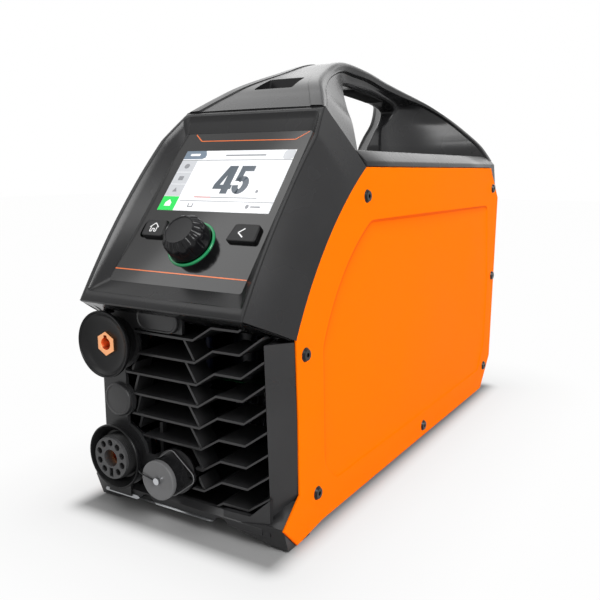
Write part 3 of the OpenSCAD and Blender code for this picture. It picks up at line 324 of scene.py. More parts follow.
handle = add_piece("handle", ring, lofted(ring), charcoal, "charcoal_plastic", stands_for=("top_cover",),
                   crisp=26)

# the strap pocket: a tapered hole through the front slope
pocket = [(-21, 315), (21.5, 315), (15.5, 352), (-13.5, 352)]
block = np.array([[[x, y, z] for x, z in pocket] for y in (-97.5, -74.5)])
cutter = add_piece("pocket", block, lofted(block), black_plastic, "black_plastic")
rounding = cutter.modifiers.new("corners", "BEVEL")
rounding.width, rounding.segments = 0.002, 3
carve(handle, cutter, 26)

# the deck and its shoulders: one outline carried along the case, drawn in a little at both ends
edge = np.array([
    [0, deck_z], [80, deck_z], [81.6, 277.3], [82.8, 276.7], [90.4, 269.6], [91.2, 268.6], [91.5, 267.6],
    [91.5, 265.3], [91.0, 264.8], [0, 264.8]])
outline = np.concatenate([edge, edge[-2:0:-1] * [-1, 1]])
ends = np.array([
    [cover_front, 1.2], [cover_front + 0.4, 0.4], [cover_front + 1.2, 0], [-60, 0], [40, 0], [140, 0],
    [cover_rear - 1.2, 0], [cover_rear - 0.4, 0.4], [cover_rear, 1.2]])
centre = np.array([0, 271.0])
toward = outline - centre
pull = 1 - ends[:, 1:2, None] / np.linalg.norm(toward, axis=1)[None, :, None]
deck = np.zeros((len(ends), len(outline), 3))
deck[:, :, [0, 2]] = centre + toward[None] * pull
deck[:, :, 1] = ends[:, :1]
add_piece("deck", deck, lofted(deck), charcoal, "charcoal_plastic")

# Soft grip under the handle ------------
# A ribbed insert of thermoplastic rubber, moulded on its own. It is pressed into the underside of the grip
# and held by two screws.

rubber = finish_of("rubber", tone(20, 20, 20), 0.72, spread=0.08, grain=500, height=0.03)
grip_front, grip_rear, grip_sides, rib_pitch = 24.5, 97.0, 40, 4.6
length = np.linspace(grip_front, grip_rear, 88)
rising = slice(0, int(np.argmax(low[:, 0])))
under = np.interp(length, low[rising, 0], low[rising, 1])
width = np.interp(length, low[rising, 0], course[rising, 4])
ribs = 0.35 * np.maximum(np.sin(length * 2 * np.pi / rib_pitch), -0.2)
taper = np.clip(np.minimum(length - grip_front, grip_rear - length) / 4, 0, 1)
angle = np.radians(np.linspace(0, 360, grip_sides, endpoint=False))[None, :]
cosine, sine = np.cos(angle), np.sin(angle)
wide = (width - 3.6)[:, None] * np.sign(cosine) * np.abs(cosine) ** 0.5
deep = (2.2 + ribs * taper)[:, None] * np.sign(sine) * np.abs(sine) ** 0.6
grip_z = under[:, None] + 0.8 - deep * (0.35 + 0.65 * taper[:, None])
grip = np.stack([wide, np.repeat(length[:, None], grip_sides, 1), grip_z], axis=2)
add_piece("soft_grip", grip, lofted(grip), rubber, "rubber", stands_for=("handle_insert",), crisp=50)

# Control panel bezel ------------
# A single moulding in the same charcoal plastic: two broad cheeks that fall back to the side panels, a
# narrow rim with rounded corners, and a well whose walls slope down to the glass.


def bow(p, q, r, n):
    """n + 1 places on the circle through p, q and r, evenly turned from p to r."""
    p, q, r = (np.array(k, float) for k in (p, q, r))
    m = np.array([[q[0] - p[0], q[1] - p[1]], [r[0] - p[0], r[1] - p[1]]]) * 2
    o = np.linalg.solve(m, [q @ q - p @ p, r @ r - p @ p])
    t0, t1 = (math.atan2(*(k - o)[::-1]) for k in (p, r))
    t = t0 + ((t1 - t0 + 3 * math.pi) % (2 * math.pi) - math.pi) * np.linspace(0, 1, n + 1)
    return o + np.linalg.norm(p - o) * np.stack([np.cos(t), np.sin(t)], 1)


lean = math.radians(40.5)
glass_foot_y, glass_foot_z = -227.4, 181.7


def on_glass(p):
    """Places given as across, up the slope and out of the glass, in the case's frame."""
    p = np.asarray(p, float)
    y = glass_foot_y + p[..., 1] * math.sin(lean) - p[..., 2] * math.cos(lean)
    z = glass_foot_z + p[..., 1] * math.cos(lean) + p[..., 2] * math.sin(lean)
    return np.stack([p[..., 0], y, z], axis=-1)


rim_arc = bow((-126, 309), (-199.5, 232), (-244.5, 168), 60)
side_arc = bow((-107.5, 264.5), (-164.5, 215.5), (-208.5, 150.4), 60)
span = np.concatenate([[0], np.cumsum(np.linalg.norm(np.diff(rim_arc, axis=0), axis=1))])
full = span[-1]
rim_top_half, rim_low_half, rim_widens = 66, 74, 33


def rim_half(t):
    """Half width of the rim at the distance t down it, which grows over the first rim_widens mm."""
    return rim_top_half + (rim_low_half - rim_top_half) * np.clip(t / rim_widens, 0, 1)


def on_rim(x_share, t, sink=0.0):
    """A place on the rim's curve, t mm down it and x_share of its half width across, sunk along the
    curve's normal."""
    t = np.clip(t, 0, full)
    y = np.interp(t, span, rim_arc[:, 0])
    z = np.interp(t, span, rim_arc[:, 1])
    dy = np.interp(t + 1, span, rim_arc[:, 0]) - np.interp(t - 1, span, rim_arc[:, 0])
    dz = np.interp(t + 1, span, rim_arc[:, 1]) - np.interp(t - 1, span, rim_arc[:, 1])
    n = np.hypot(dy, dz)
    return np.stack([x_share * rim_half(t), y + sink * -dz / n, z + sink * dy / n], axis=-1)


def loop(left, right, lower, upper, radii, per_side=24, per_corner=8):
    """A rounded rectangle as one closed row of places, anticlockwise from the middle of the lower side;
    radii are of the lower right, upper right, upper left and lower left corners."""
    corners = [(right, lower, -90, -1, 1), (right, upper, 0, -1, -1), (left, upper, 90, 1, -1),
               (left, lower, 180, 1, 1)]
    rows = []
    for (cx, cy, a0, sx, sy), r in zip(corners, radii):
        t = np.radians(a0 + np.linspace(0, 90, per_corner))
        rows.append(np.stack([cx + sx * r + r * np.cos(t), cy + sy * r + r * np.sin(t)], 1))
    out = []
    for k in range(4):
        out.append(rows[k])
        p, q = rows[k][-1], rows[(k + 1) % 4][0]
        f = np.linspace(0, 1, per_side + 1)[1:-1, None]
        out.append(p * (1 - f) + q * f)
    return np.concatenate(out)


# well: rings run from the rim's outer edge over its band and down the walls to below the glass; for each, how
# far it lies in from the sides, the top and the foot, how deep it is sunk, and its corner radius
rings = []
for side_in, top_in, foot_in, sink, r in (
        (0, 0, 0, 1.0, 2), (0.35, 0.35, 0.35, 0.3, 2), (1.0, 1.0, 1.0, 0, 2), (2.9, 4.3, 7.9, 0, 5),
        (3.4, 4.8, 8.4, 0.3, 5.5), (3.8, 5.3, 8.9, 1.2, 6)):
    half = rim_low_half - side_in
    square = loop(-half, half, -full + foot_in, -top_in, (r * 0.4, r, r, r * 0.4))
    rings.append(on_rim(square[:, 0] / rim_low_half, -square[:, 1], sink))
wall = loop(-60.9, 60.9, -0.2, 144.2, (3, 3, 3, 3))
glass_ring = on_glass(np.concatenate([wall, np.zeros((len(wall), 1))], 1))
under_ring = on_glass(np.concatenate([wall, np.full((len(wall), 1), -3.0)], 1))
first = rings[-1]
for share_down in (0.33, 0.66, 0.93):
    rings.append(first * (1 - share_down) + glass_ring * share_down)
rings += [glass_ring, under_ring]
well = np.array(rings)
add_piece("rim_and_well", well, quads(len(well), well.shape[1], True), charcoal, "charcoal_plastic",
          stands_for=("front_bezel",), crisp=32, closed=False)

# cheeks: straight lines between the rim's outer edge and the side panel's curved edge, closed behind
rim_edge = on_rim(np.ones(len(span)), span, 0.3)
side_edge = np.concatenate([np.full((len(side_arc), 1), 91.9), side_arc], 1)
f = np.linspace(0, 1, 14)[:, None, None]
swell = np.sin(np.pi * f) * np.array([0.6, -0.6, 0.3])
cheek = rim_edge[None] * (1 - f) + side_edge[None] * f + swell
behind = np.stack([side_edge - [1.0, 0, 0], side_edge - [4.0, -1.0, 1.0], rim_edge - [6, -6, 3]])
cheek = np.concatenate([cheek, behind])
for sign, name in ((1, "cheek_right"), (-1, "cheek_left")):
    add_piece(name, cheek * [sign, 1, 1], lofted(cheek), charcoal, "charcoal_plastic")


def carried_across(section):
    """A section of (half width, y, z) places, set at five shares of its half width across the case."""
    return np.array([[[s * half, y, z] for half, y, z in section] for s in (-1, -0.5, 0, 0.5, 1)])


# lip: the plain underside between the cheeks, and the strip behind the upper rim
lip = carried_across([(74, -244.5, 168), (73.4, -243.6, 166.9), (82, -226, 159.2), (90, -208.6, 150.6),
                      (88, -206, 152.0), (80, -224, 162.5), (72, -240, 171)])
add_piece("lip", lip, lofted(lip), charcoal, "charcoal_plastic", crisp=20)
crown = carried_across([(66, -126, 309), (65.4, -124.6, 309.6), (66, -121, 306), (80, -104, 276),
                        (80, -108, 274), (68, -124, 303)])
add_piece("rim_back", crown, lofted(crown), charcoal, "charcoal_plastic", crisp=20)

# gusset: closes the wedge between each cheek's upper end and the front leg of the handle
down_leg = np.linspace(0, 1, 6)[:, None]
cheek_end = rim_edge[:1] * (1 - down_leg) + side_edge[:1] * down_leg
leg_end = np.array([[66.0, -124.4, 309.0]]) * (1 - down_leg) + np.array([[80.0, -94.6, 270.0]]) * down_leg
gusset = np.stack([cheek_end - [0.5, -0.4, 0.1], leg_end - [0.6, 0, 0], leg_end - [6, -2, 4],
                   cheek_end - [6, -1, 4]], 1)
for sign, name in ((1, "gusset_right"), (-1, "gusset_left")):
    add_piece(name, gusset * [sign, 1, 1], lofted(gusset), charcoal, "charcoal_plastic")

# Glass and display ------------
# A back-printed black glass plate behind which a colour display lies. The picture has a header, a column of
# four tiles, a large figure with a rule under it and a foot line; two thin orange lines trim the glass.

gloss_black = finish_of("black_glass", tone(14, 14, 15), 0.10, spread=0.02, drift=0.05, height=0, level=0.5)


def dress(node, finish):
    """A carried-over part keeps its shape and gets this finish in every slot."""
    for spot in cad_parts[node].material_slots:
        spot.material = finish


def printed(name, shapes, out, finish, slot, thick=0.06, body="case"):
    """Flat shapes, each a list of (across, up) corners, as plates `thick` mm high whose backs lie
    `out` mm above the glass."""
    spots, faces = [], []
    for shape in shapes:
        p = np.array(shape, float)
        n, base = len(p), len(spots)
        for h in (out, out + thick):
            spots += on_glass(np.concatenate([p, np.full((n, 1), h)], 1)).tolist()
        faces += [[base + n + k for k in range(n)], [base + k for k in range(n)][::-1]]
        faces += [[base + k, base + (k + 1) % n, base + n + (k + 1) % n, base + n + k] for k in range(n)]
    add_piece(name, spots, faces, finish, slot, body=body)


def lit(name, colour, glow=0.25):
    """A printed or lit colour under the glass: glossy on top, with a little light of its own."""
    m = finish_of(name, colour, 0.10, spread=0.01, drift=0.02, height=0, level=0.5)
    skin = m.node_tree.nodes["Principled BSDF"]
    skin.inputs["Emission Color"].default_value = colour
    skin.inputs["Emission Strength"].default_value = glow
    return m


dress("display_glass", gloss_black)
# the picture's left, right, lower and upper edge, and how high its layers of print lie over the glass
x0, x1, u0, u1 = -50.0, 54.2, 66.2, 125.6
ground, first_print, second_print = 0.02, 0.10, 0.18


def cell(left, right, lower, upper, r=0.0):
    """A rectangle of the picture between two places across and two up the slope, with corners of radius r."""
    if r:
        return loop(left, right, lower, upper, (r,) * 4, 2, 5).tolist()
    return [(left, lower), (right, lower), (right, upper), (left, upper)]


def figure(points, left, lower, wide, high):
    """The outline of a figure drawn on a 10 by 16 grid, set to its place and size on the picture."""
    return (np.array(points, float) / [10, 16] * [wide, high] + [left, lower]).tolist()


white = lit("display_white", tone(240, 241, 243), 0.30)
header_grey = lit("display_header", tone(112, 128, 144), 0.2)
tile_grey = lit("display_tile", tone(198, 200, 204), 0.25)
rule_grey = lit("display_rule", tone(140, 142, 146), 0.2)
figure_grey = lit("display_figure", tone(84, 94, 104), 0.12)
tile_green = lit("display_green", tone(8, 208, 80), 0.4)
rule_red = lit("display_red", tone(196, 82, 74), 0.25)
orange_print = lit("orange_print", tone(236, 112, 40), 0.15)

printed("picture", [cell(x0, x1, u0, u1)], ground, white, "display")
header = [(x0, 117.2), (-31, 117.2), (-28.2, 118.6), (-28.2, 121.4), (-30.4, u1), (x0, u1)]
printed("picture_header", [header], first_print, header_grey, "display")
tiles = [cell(x0, -34.4, low_u, low_u + 11.6) for low_u in (79.9, 92.0, 104.1)]
tiles.append(cell(44.5, x1, 116.4, u1, 3.0))
printed("picture_tiles", tiles, first_print, tile_grey, "display")
printed("picture_live_tile", [cell(x0, -34.2, u0, 79.6)], first_print, tile_green, "display")
printed("picture_rules", [cell(x0, x1, 115.6, 116.2), cell(-32, x1, 75.6, 76.1), cell(-4, 38.2, 79.2, 79.9)],
        first_print, rule_grey, "display")
printed("picture_red_rule", [cell(-19.8, -4, 79.2, 79.9)], first_print, rule_red, "display")
bars = [cell(-9, 29, 120.0, 121.3, 0.5), cell(-22, -21.2, 69.9, 73.4), cell(-22, -17.2, 69.9, 70.7),
        cell(-18, -17.2, 69.9, 73.4), cell(31.6, 34.4, 69.9, 73.6, 1.2), cell(36, 44.6, 71.0, 72.3, 0.5),
        cell(34.3, 36.6, 84.4, 87.2, 0.8)]
printed("picture_bars", bars, first_print, rule_grey, "display")
printed("picture_header_bar", [cell(-44.5, -34.5, 120.3, 122.6, 0.8)], second_print, white, "display")
marks = [cell(-44.6, -39.8, 107.4, 112.2, 2.2), cell(-44.6, -39.8, 95.6, 99.6, 0.4),
         [(-44.4, 84.2), (-40.0, 84.2), (-42.2, 88.4)]]
printed("picture_marks", marks, second_print, rule_grey, "display")
live_mark = [(-45.2, 70.2), (-39.2, 70.2), (-39.2, 73.6), (-42.2, 76.6), (-45.2, 73.6)]
printed("picture_live_mark", [live_mark], second_print, white, "display")
four = [[(5.1, 0), (8.9, 0), (8.9, 16), (5.1, 16)], [(8.9, 2.6), (10, 2.6), (10, 5.0), (8.9, 5.0)],
        [(0, 2.6), (5.1, 2.6), (5.1, 5.0), (0, 5.0)],
        [(0, 5.0), (3.2, 5.0), (5.1, 10.6), (5.1, 16), (4.2, 16)]]
turn = np.radians(np.linspace(140, -178, 30))
outer = np.stack([4.9 + 4.9 * np.cos(turn), 5.0 + 5.05 * np.sin(turn)], 1)
inward = np.stack([4.9 + 1.1 * np.cos(turn), 5.0 + 2.2 * np.sin(turn)], 1)
five = [[(0.9, 12.9), (9.5, 12.9), (9.5, 16), (0.9, 16)], [(0.5, 7.2), (4.0, 7.2), (4.3, 12.9), (0.9, 12.9)]]
five += [[outer[k], inward[k], inward[k + 1], outer[k + 1]] for k in range(len(turn) - 1)]
figures = [figure(p, -6.4, 83.2, 16.9, 26.8) for p in four]
figures += [figure(p, 10.9, 83.2, 14.6, 26.8) for p in five]
printed("picture_figure", figures, first_print, figure_grey, "display")


def strip(points, w):
    """A line of even width w through the points, as one quad for each stretch."""
    p = np.array(points, float)
    step = np.diff(p, axis=0)
    side = np.stack([-step[:, 1], step[:, 0]], 1) / np.linalg.norm(step, axis=1)[:, None] * w / 2
    start, stop = p[:-1], p[1:]
    return list(np.stack([start - side, stop - side, stop + side, start + side], 1))


trim_upper = strip([(-49.5, 143.2), (-40.7, 136), (48.7, 135.6), (58.2, 143.4)], 0.85)
printed("trim_upper", trim_upper, ground, orange_print, "orange_paint")
printed("trim_lower", strip([(-60.4, 11), (60.4, 11)], 0.9), ground, orange_print, "orange_paint")

# Knob, light ring and buttons ------------
# The knob is turned in black plastic with twelve shallow flutes under a plain cap; it stands in a green light
# ring. The two buttons are soft-edged keys with a white sign printed on each.

knob_black = finish_of("knob_black", tone(19, 19, 21), 0.22, spread=0.05, grain=600, height=0.006, level=0.2)
ring_green = lit("green_light", tone(14, 128, 76), 0.25)
sign_white = lit("sign_white", tone(235, 235, 235), 0.2)


def turned(name, profile, place, finish, slot, sides=96, flute=None, **more):
    """A profile of (radius, height) turned about the local axis; `flute` gives a change of radius by
    angle and height."""
    profile = np.array(profile, float)
    t = np.radians(np.linspace(0, 360, sides, endpoint=False))[None, :]
    r = profile[:, :1] + (flute(t, profile[:, 1:2], profile[:, :1]) if flute else 0 * t)
    spots = place(np.stack([r * np.cos(t), r * np.sin(t), profile[:, 1:2] + 0 * t], axis=-1))
    return add_piece(name, spots, quads(len(profile), sides, True), finish, slot, **more)


knob_u = 36.5   # of the knob's axis, up the glass


def at_knob(p):
    """Places about the knob's axis, out of the glass."""
    return on_glass(np.asarray(p, float) + [0, knob_u, 0])


def knob_flutes(t, h, r):
    """Twelve flat scallops cut 1.2 mm into the shoulder, fading 2.5 mm down the side, and twelve narrow
    grooves of 0.4 mm between them that run down the body; none on the skirt and the cap's face."""
    wave = np.maximum(np.cos(12 * t), 0) ** 0.6
    groove = np.maximum(-np.cos(12 * t) - 0.86, 0) / 0.14
    shoulder = np.clip((h - 11.5) / 2.5, 0, 1) * np.clip((r - 11.8) / 0.8, 0, 1)
    body = np.clip((h - 4.2) / 1, 0, 1) * np.clip((r - 11.8) / 0.8, 0, 1)
    return -1.2 * wave * shoulder - 0.4 * groove * body


# from the bore that clears the encoder, round the skirt and up the body to the rim of the face
knob_profile = [
    (0, 14.3), (3.05, 14.3), (3.05, 3.4), (5.4, 3.4), (5.4, 1.4), (16.6, 1.4), (17.0, 1.6), (17.2, 2.0),
    (17.2, 3.4), (17.1, 4.0), (17.0, 5.2), (16.9, 7), (16.8, 9), (16.6, 11), (16.4, 12.4), (16.1, 13.4),
    (15.6, 14.4), (14.9, 15.4), (14.1, 16.3), (13.2, 17.2), (12.4, 17.9), (12.0, 18.25), (11.6, 18.4),
    (11.2, 18.3), (11.0, 17.9), (10.7, 17.7), (5.5, 17.8), (0, 17.8)]
turned("knob", knob_profile, at_knob, knob_black, "black_plastic", body="knob", stands_for=("control_knob",),
       flute=knob_flutes, sides=192)
ring_profile = [(17.5, 0.0), (17.5, 0.9), (17.8, 1.3), (18.4, 1.4), (19.0, 1.25), (19.35, 0.8), (19.4, 0.0),
                (17.5, 0.0)]
turned("light_ring", ring_profile, at_knob, ring_green, "green_light", stands_for=("knob_light_ring",),
       crisp=40)

key_high, sign_out, sign_thick = 3.2, 3.12, 0.1


def key(name, corners, radii, body, node):
    """A key: a rounded outline carried up from the glass, with a 1.2 mm edge radius and a slightly
    dished face."""
    c = np.array(corners, float)
    rows = []
    for k, p in enumerate(c):
        before, after = c[k - 1] - p, c[(k + 1) % len(c)] - p
        e0, e1 = before / np.linalg.norm(before), after / np.linalg.norm(after)
        t = np.linspace(0, 1, 7)[:, None]
        r = radii[k]
        rows.append((1 - t) ** 2 * (p + e0 * r) + 2 * t * (1 - t) * p + t ** 2 * (p + e1 * r))
    o = np.concatenate(rows)
    mid = o.mean(0)
    away = o - mid
    dist = np.linalg.norm(away, axis=1)[:, None]
    layers = []
    for inset, h in ((0, -3), (0, key_high - 1.2), (0.15, key_high - 0.6), (0.6, key_high - 0.15),
                     (1.2, key_high), (3, key_high - 0.05), (5.5, key_high - 0.1)):
        layers.append(np.concatenate([mid + away * (1 - inset / dist), np.full((len(o), 1), h)], 1))
    spots = on_glass(np.array(layers))
    add_piece(name, spots, lofted(spots), black_plastic, "black_plastic", body=body, stands_for=(node,),
              crisp=34)


home_corners = [(-28.8, 39.8), (-30.6, 54.6), (-50.6, 54.6), (-50.0, 39.8)]
back_corners = [(55.2, 39.8), (54.6, 54.8), (33.0, 54.8), (30.0, 39.8)]
key("home_key", home_corners, [2.6, 2.6, 3.4, 3.4], "home", "home_button")
key("back_key", back_corners, [2.6, 3.2, 2.4, 2.4], "back", "back_button")
house = strip([(-44.2, 47.8), (-40.0, 51.6), (-35.8, 47.8)], 0.8)
house += strip([(-42.9, 48.2), (-42.9, 43.9), (-41.1, 43.9), (-41.1, 46.4), (-38.9, 46.4), (-38.9, 43.9),
                (-37.1, 43.9), (-37.1, 48.2)], 0.7)
arrow = strip([(43.2, 50.6), (38.6, 46.9), (43.6, 43.2)], 1.0)
for name, sign, body in (("home_sign", house, "home"), ("back_sign", arrow, "back")):
    printed(name, sign, sign_out, sign_white, "display", thick=sign_thick, body=body)

# Side panels ------------
# Each is 1.5 mm sheet steel, powder coated orange, with a large field pressed in by 1.4 mm. Seven screws hold
# it. Its front edge follows the cheek; the lower front corner forms a toe.

orange = finish_of("orange_paint", tone(255, 117, 2), 0.55, spread=0.04, drift=0.012, cloud=9, grain=420,
                   height=0.006, level=0.015)
screw_black = finish_of("screw_black", tone(24, 25, 27), 0.30, metal=0.6, height=0)


def field_and_inner_shade(finish, field_shade, shade_way, inner_shade, inner_x):
    """Painted shade: the colour deepens on the walls of the field that face down and back, by the dot product
    of the normal with the given way. The inner face, with |X| under `inner_x` m, is painted near black as the
    shade of the closed case's inside."""
    nodes, link = finish.node_tree.nodes, finish.node_tree.links.new
    skin, place = nodes["Principled BSDF"], nodes["Texture Coordinate"]
    facing, field_shaded, parted, apart, inside, inner_shaded = (nodes.new("ShaderNode" + kind) for kind in (
        "VectorMath", "Mix", "SeparateXYZ", "Math", "Math", "Mix"))
    facing.operation, apart.operation, inside.operation = "DOT_PRODUCT", "ABSOLUTE", "LESS_THAN"
    facing.inputs[1].default_value = shade_way
    inside.inputs[1].default_value = inner_x
    field_shaded.data_type = inner_shaded.data_type = "RGBA"
    field_shaded.inputs["B"].default_value = field_shade
    inner_shaded.inputs["B"].default_value = inner_shade
    link(place.outputs["Normal"], facing.inputs[0])
    link(facing.outputs["Value"], field_shaded.inputs["Factor"])
    link(skin.inputs["Base Color"].links[0].from_socket, field_shaded.inputs["A"])
    link(place.outputs["Object"], parted.inputs[0])
    link(parted.outputs["X"], apart.inputs[0])
    link(apart.outputs[0], inside.inputs[0])
    link(inside.outputs[0], inner_shaded.inputs["Factor"])
    link(field_shaded.outputs["Result"], inner_shaded.inputs["A"])
    link(inner_shaded.outputs["Result"], skin.inputs["Base Color"])


# painted shade along the field's upper and front edges, and painted shade on the panels' inner face
field_and_inner_shade(orange, tone(228, 86, 2), (0, 2.0, -5.0), tone(20, 19, 19), 0.0904)
panel_low = np.array([
    [-205.3, 94.3], [-204.0, 38.2], [-224.8, 19.9], [-207.4, 2.0], [-171.2, 6.0], [209.5, 5.8],
    [239.8, 39.8], [244.5, 230.7], [212.6, 264.5]])
panel_edge = np.concatenate([side_arc[::5], panel_low])
field_arc = bow((-96.5, 223.5), (-132.5, 197), (-171.5, 138), 14)
field_low = [[-168, 47], [-151, 31], [196.5, 31], [214.5, 60], [217, 136], [204.5, 222.5]]
field_edge = np.concatenate([field_arc, field_low])


def reach_of(corners, middle, angles):
    """Distance from `middle` to a closed outline in each direction, by meeting every edge with the ray."""
    p = corners - middle
    q = np.roll(p, -1, axis=0)
    ray = np.stack([np.cos(angles), np.sin(angles)], 1)
    e = q - p
    det = ray[:, None, 0] * -e[None, :, 1] + ray[:, None, 1] * e[None, :, 0]
    det = np.where(np.abs(det) < 1e-12, 1e-12, det)
    far = (p[None, :, 0] * -e[None, :, 1] + p[None, :, 1] * e[None, :, 0]) / det
    cut_at = (ray[:, None, 0] * p[None, :, 1] - ray[:, None, 1] * p[None, :, 0]) / det
    ok = (far > 0) & (cut_at >= -1e-9) & (cut_at <= 1 + 1e-9)
    return np.where(ok, far, 1e9).min(1)


middle = np.array([15.0, 130.0])
corner_angles = np.arctan2(*(np.concatenate([panel_edge, field_edge]) - middle).T[::-1])
angles = np.unique(np.round(np.concatenate([np.linspace(-math.pi, math.pi, 361)[:-1], corner_angles]), 6))
rim_at = reach_of(panel_edge, middle, angles)
# the field's corners are softened by a bell curve over the directions, a quarter of a degree apart
bell = np.exp(-0.5 * (np.arange(-9, 10) / 3.2) ** 2)
even = np.linspace(-math.pi, math.pi, 1441)[:-1]
field_even = reach_of(field_edge, middle, even)
wrapped = np.concatenate([field_even[-9:], field_even, field_even[:9]])
field_even = np.convolve(wrapped, bell / bell.sum(), "valid")
field_at = np.interp(angles, np.append(even, math.pi), np.append(field_even, field_even[0]))
# from the middle of the field outwards and round to the back: the reach of each ring and its X
field_x, land_x, back_x = 90.55, 92.0, 90.2
levels = [
    (field_at * 0.5, field_x), (field_at - 22, 90.56), (field_at - 15, 90.59), (field_at - 9, 90.68),
    (field_at - 5, 90.82), (field_at - 2.6, 90.97), (field_at - 1.3, 91.12), (field_at - 0.5, 91.42),
    (field_at + 0.2, 91.9), (field_at + 0.7, land_x), (field_at + 1.4, land_x), (rim_at - 1.4, land_x),
    (rim_at - 0.7, land_x), (rim_at - 0.15, 91.8), (rim_at, 91.4), (rim_at, 90.7), (rim_at - 0.3, back_x),
    (rim_at * 0.5, back_x)]
panel = np.array([np.stack([np.full(len(angles), x), middle[0] + r * np.cos(angles),
                            middle[1] + r * np.sin(angles)], 1) for r, x in levels])
left_toe_y, toe_z = -213, 38
for sign, name, node in ((1, "side_right", "side_panel_right"), (-1, "side_left", "side_panel_left")):
    sheet_at = panel * [sign, 1, 1]
    if sign < 0:
        in_toe = (sheet_at[..., 2] < toe_z) & (sheet_at[..., 1] < left_toe_y)
        drawn_in = left_toe_y + 0.05 * (sheet_at[..., 1] - left_toe_y)
        sheet_at[..., 1] = np.where(in_toe, drawn_in, sheet_at[..., 1])
    add_piece(name, sheet_at, lofted(panel), orange, "orange_paint", stands_for=(node,), crisp=28)

# Softened carried-over parts ------------
# The frames, the grille and most fittings are plastic mouldings; the pan and the rear panel are sheet steel.
# Each keeps its construction shape and gets the small edge radius that it has in life.


def softened(node, radius, finish, body="case", segments=2, name=None):
    """A welded copy of a part with `radius` mm on every edge bent by more than 30 degrees."""
    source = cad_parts[node].data
    spots = np.empty(len(source.vertices) * 3)
    source.vertices.foreach_get("co", spots)
    faces = np.empty(len(source.loops), int)
    source.loops.foreach_get("vertex_index", faces)
    shape = bmesh.new()
    mesh = bpy.data.meshes.new(name or node + "_finished")
    mesh.from_pydata(spots.reshape(-1, 3).tolist(), [], faces.reshape(-1, 3).tolist())
    shape.from_mesh(mesh)
    bmesh.ops.remove_doubles(shape, verts=shape.verts, dist=2e-6)
    shape.to_mesh(mesh)
    shape.free()
    mesh.polygons.foreach_set("use_smooth", np.ones(len(mesh.polygons), bool))
    mesh.set_sharp_from_angle(angle=math.radians(40))
    mesh.materials.append(finish)
    piece = bpy.data.objects.new(mesh.name, mesh)
    scene.collection.objects.link(piece)
    if radius > 0:
        edge_radius = piece.modifiers.new("edge", "BEVEL")
        edge_radius.width, edge_radius.segments = radius * 0.001, segments
        edge_radius.limit_method, edge_radius.angle_limit = "ANGLE", math.radians(30)
        edge_radius.harden_normals = True
        edge_radius.use_clamp_overlap = True
    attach(piece, body)
    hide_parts(node)
    return piece


slat_finish = finish_of("slat_plastic", tone(39, 39, 40), 0.42, spread=0.04, grain=700, height=0.012)
copper = finish_of("copper", (0.95, 0.42, 0.20, 1), 0.28, spread=0.06, metal=1.0, height=0)
steel = finish_of("steel", (0.55, 0.56, 0.58, 1), 0.32, spread=0.08, metal=1.0, height=0)
cap_grey = finish_of("cap_grey", tone(104, 104, 105), 0.42, spread=0.04, grain=700, height=0.01)
brass = finish_of("brass", (0.80, 0.58, 0.26, 1), 0.28, spread=0.06, metal=1.0, height=0)
red = finish_of("red_plastic", tone(190, 30, 22), 0.25, height=0)
zinc = finish_of("base_steel", tone(60, 61, 63), 0.4, metal=0.3, height=0.01)

frame_plastic = finish_of("frame_plastic", tone(42, 42, 43), 0.30, spread=0.03, grain=700, height=0.006,
                          level=0.35)
softened("front_frame", 0.6, frame_plastic)
softened("front_grille", 0.25, slat_finish)
softened("rear_frame", 0.8, charcoal)
softened("rear_panel", 0.3, black_plastic)
softened("base_pan", 0.3, zinc)
softened("rubber_feet", 1.0, rubber)
softened("side_screws_right", 0.35, screw_black)
softened("side_screws_left", 0.35, screw_black)
socket_black = finish_of("socket_black", tone(25, 25, 26), 0.24, spread=0.03, grain=600, height=0.004,
                         level=0.5)
softened("signal_socket", 0.7, socket_black, segments=3)
softened("signal_cap_screw", 0.3, steel, body="dust_cap")
softened("fan_guard", 0, screw_black)
softened("power_switch_body", 0.5, black_plastic)
softened("power_switch_rocker", 0.5, red, body="rocker")
softened("cable_gland", 0.6, black_plastic)
softened("air_inlet", 0.4, brass)
softened("fan_rotor", 0.4, slat_finish, body="fan")
softened("fan_screws", 0.3, screw_black)

# painted highlight: a strip of light metal under the bottom beam stands for the highlight on the beam's lower
# edge and the floor's reflection in its chamfer; it is wider left of the first notch
glint_x = np.array([-80, -79, -46, -43.5, -28.5, -26, 27, 29])
glint_low = np.array([9.2, 8.2, 8.4, 9.6, 9.6, 9.2, 9.5, 10.2])
glint_top = np.array([10.6, 11.2, 11.6, 10.4, 10.4, 10.6, 10.5, 10.6])
glint_rows = ((-223.1, glint_low), (-223.3, glint_low + 0.3), (-222.7, glint_top - 0.2), (-222.4, glint_top),
             (-221.4, glint_top), (-221.6, glint_low))
glint_band = np.stack([np.stack([glint_x, np.full(len(glint_x), y), z], 1) for y, z in glint_rows], 1)
glint_metal = finish_of("glint_steel", (0.33, 0.34, 0.35, 1), 0.34, spread=0.06, metal=0.9, grain=300,
                   height=0.01)
add_piece("base_edge_glint", glint_band, lofted(glint_band), glint_metal, "black_steel")

# Sockets and caps of the front ------------
# Turned and moulded fittings in one column: the copper earth contact sits in a flared dish, the torch
# socket's drilled insulator in a threaded collar; plain plugs close the unused holes and a tethered cap the
# signal socket.

plate_y, column_x = -224, -58


def at_plate(x, z):
    """A place function for the socket plate: across, up and out of the plate from its point x, z."""
    def place(p):
        p = np.asarray(p)
        return np.stack([x + p[..., 0], plate_y - p[..., 2], z + p[..., 1]], axis=-1)
    return place


earth_place, torch_place, signal_place = at_plate(column_x, 135), at_plate(column_x, 45), at_plate(-5.5, 41)
round_plug_place, oblong_plug_place = at_plate(column_x, 89), at_plate(-15.5, 156)


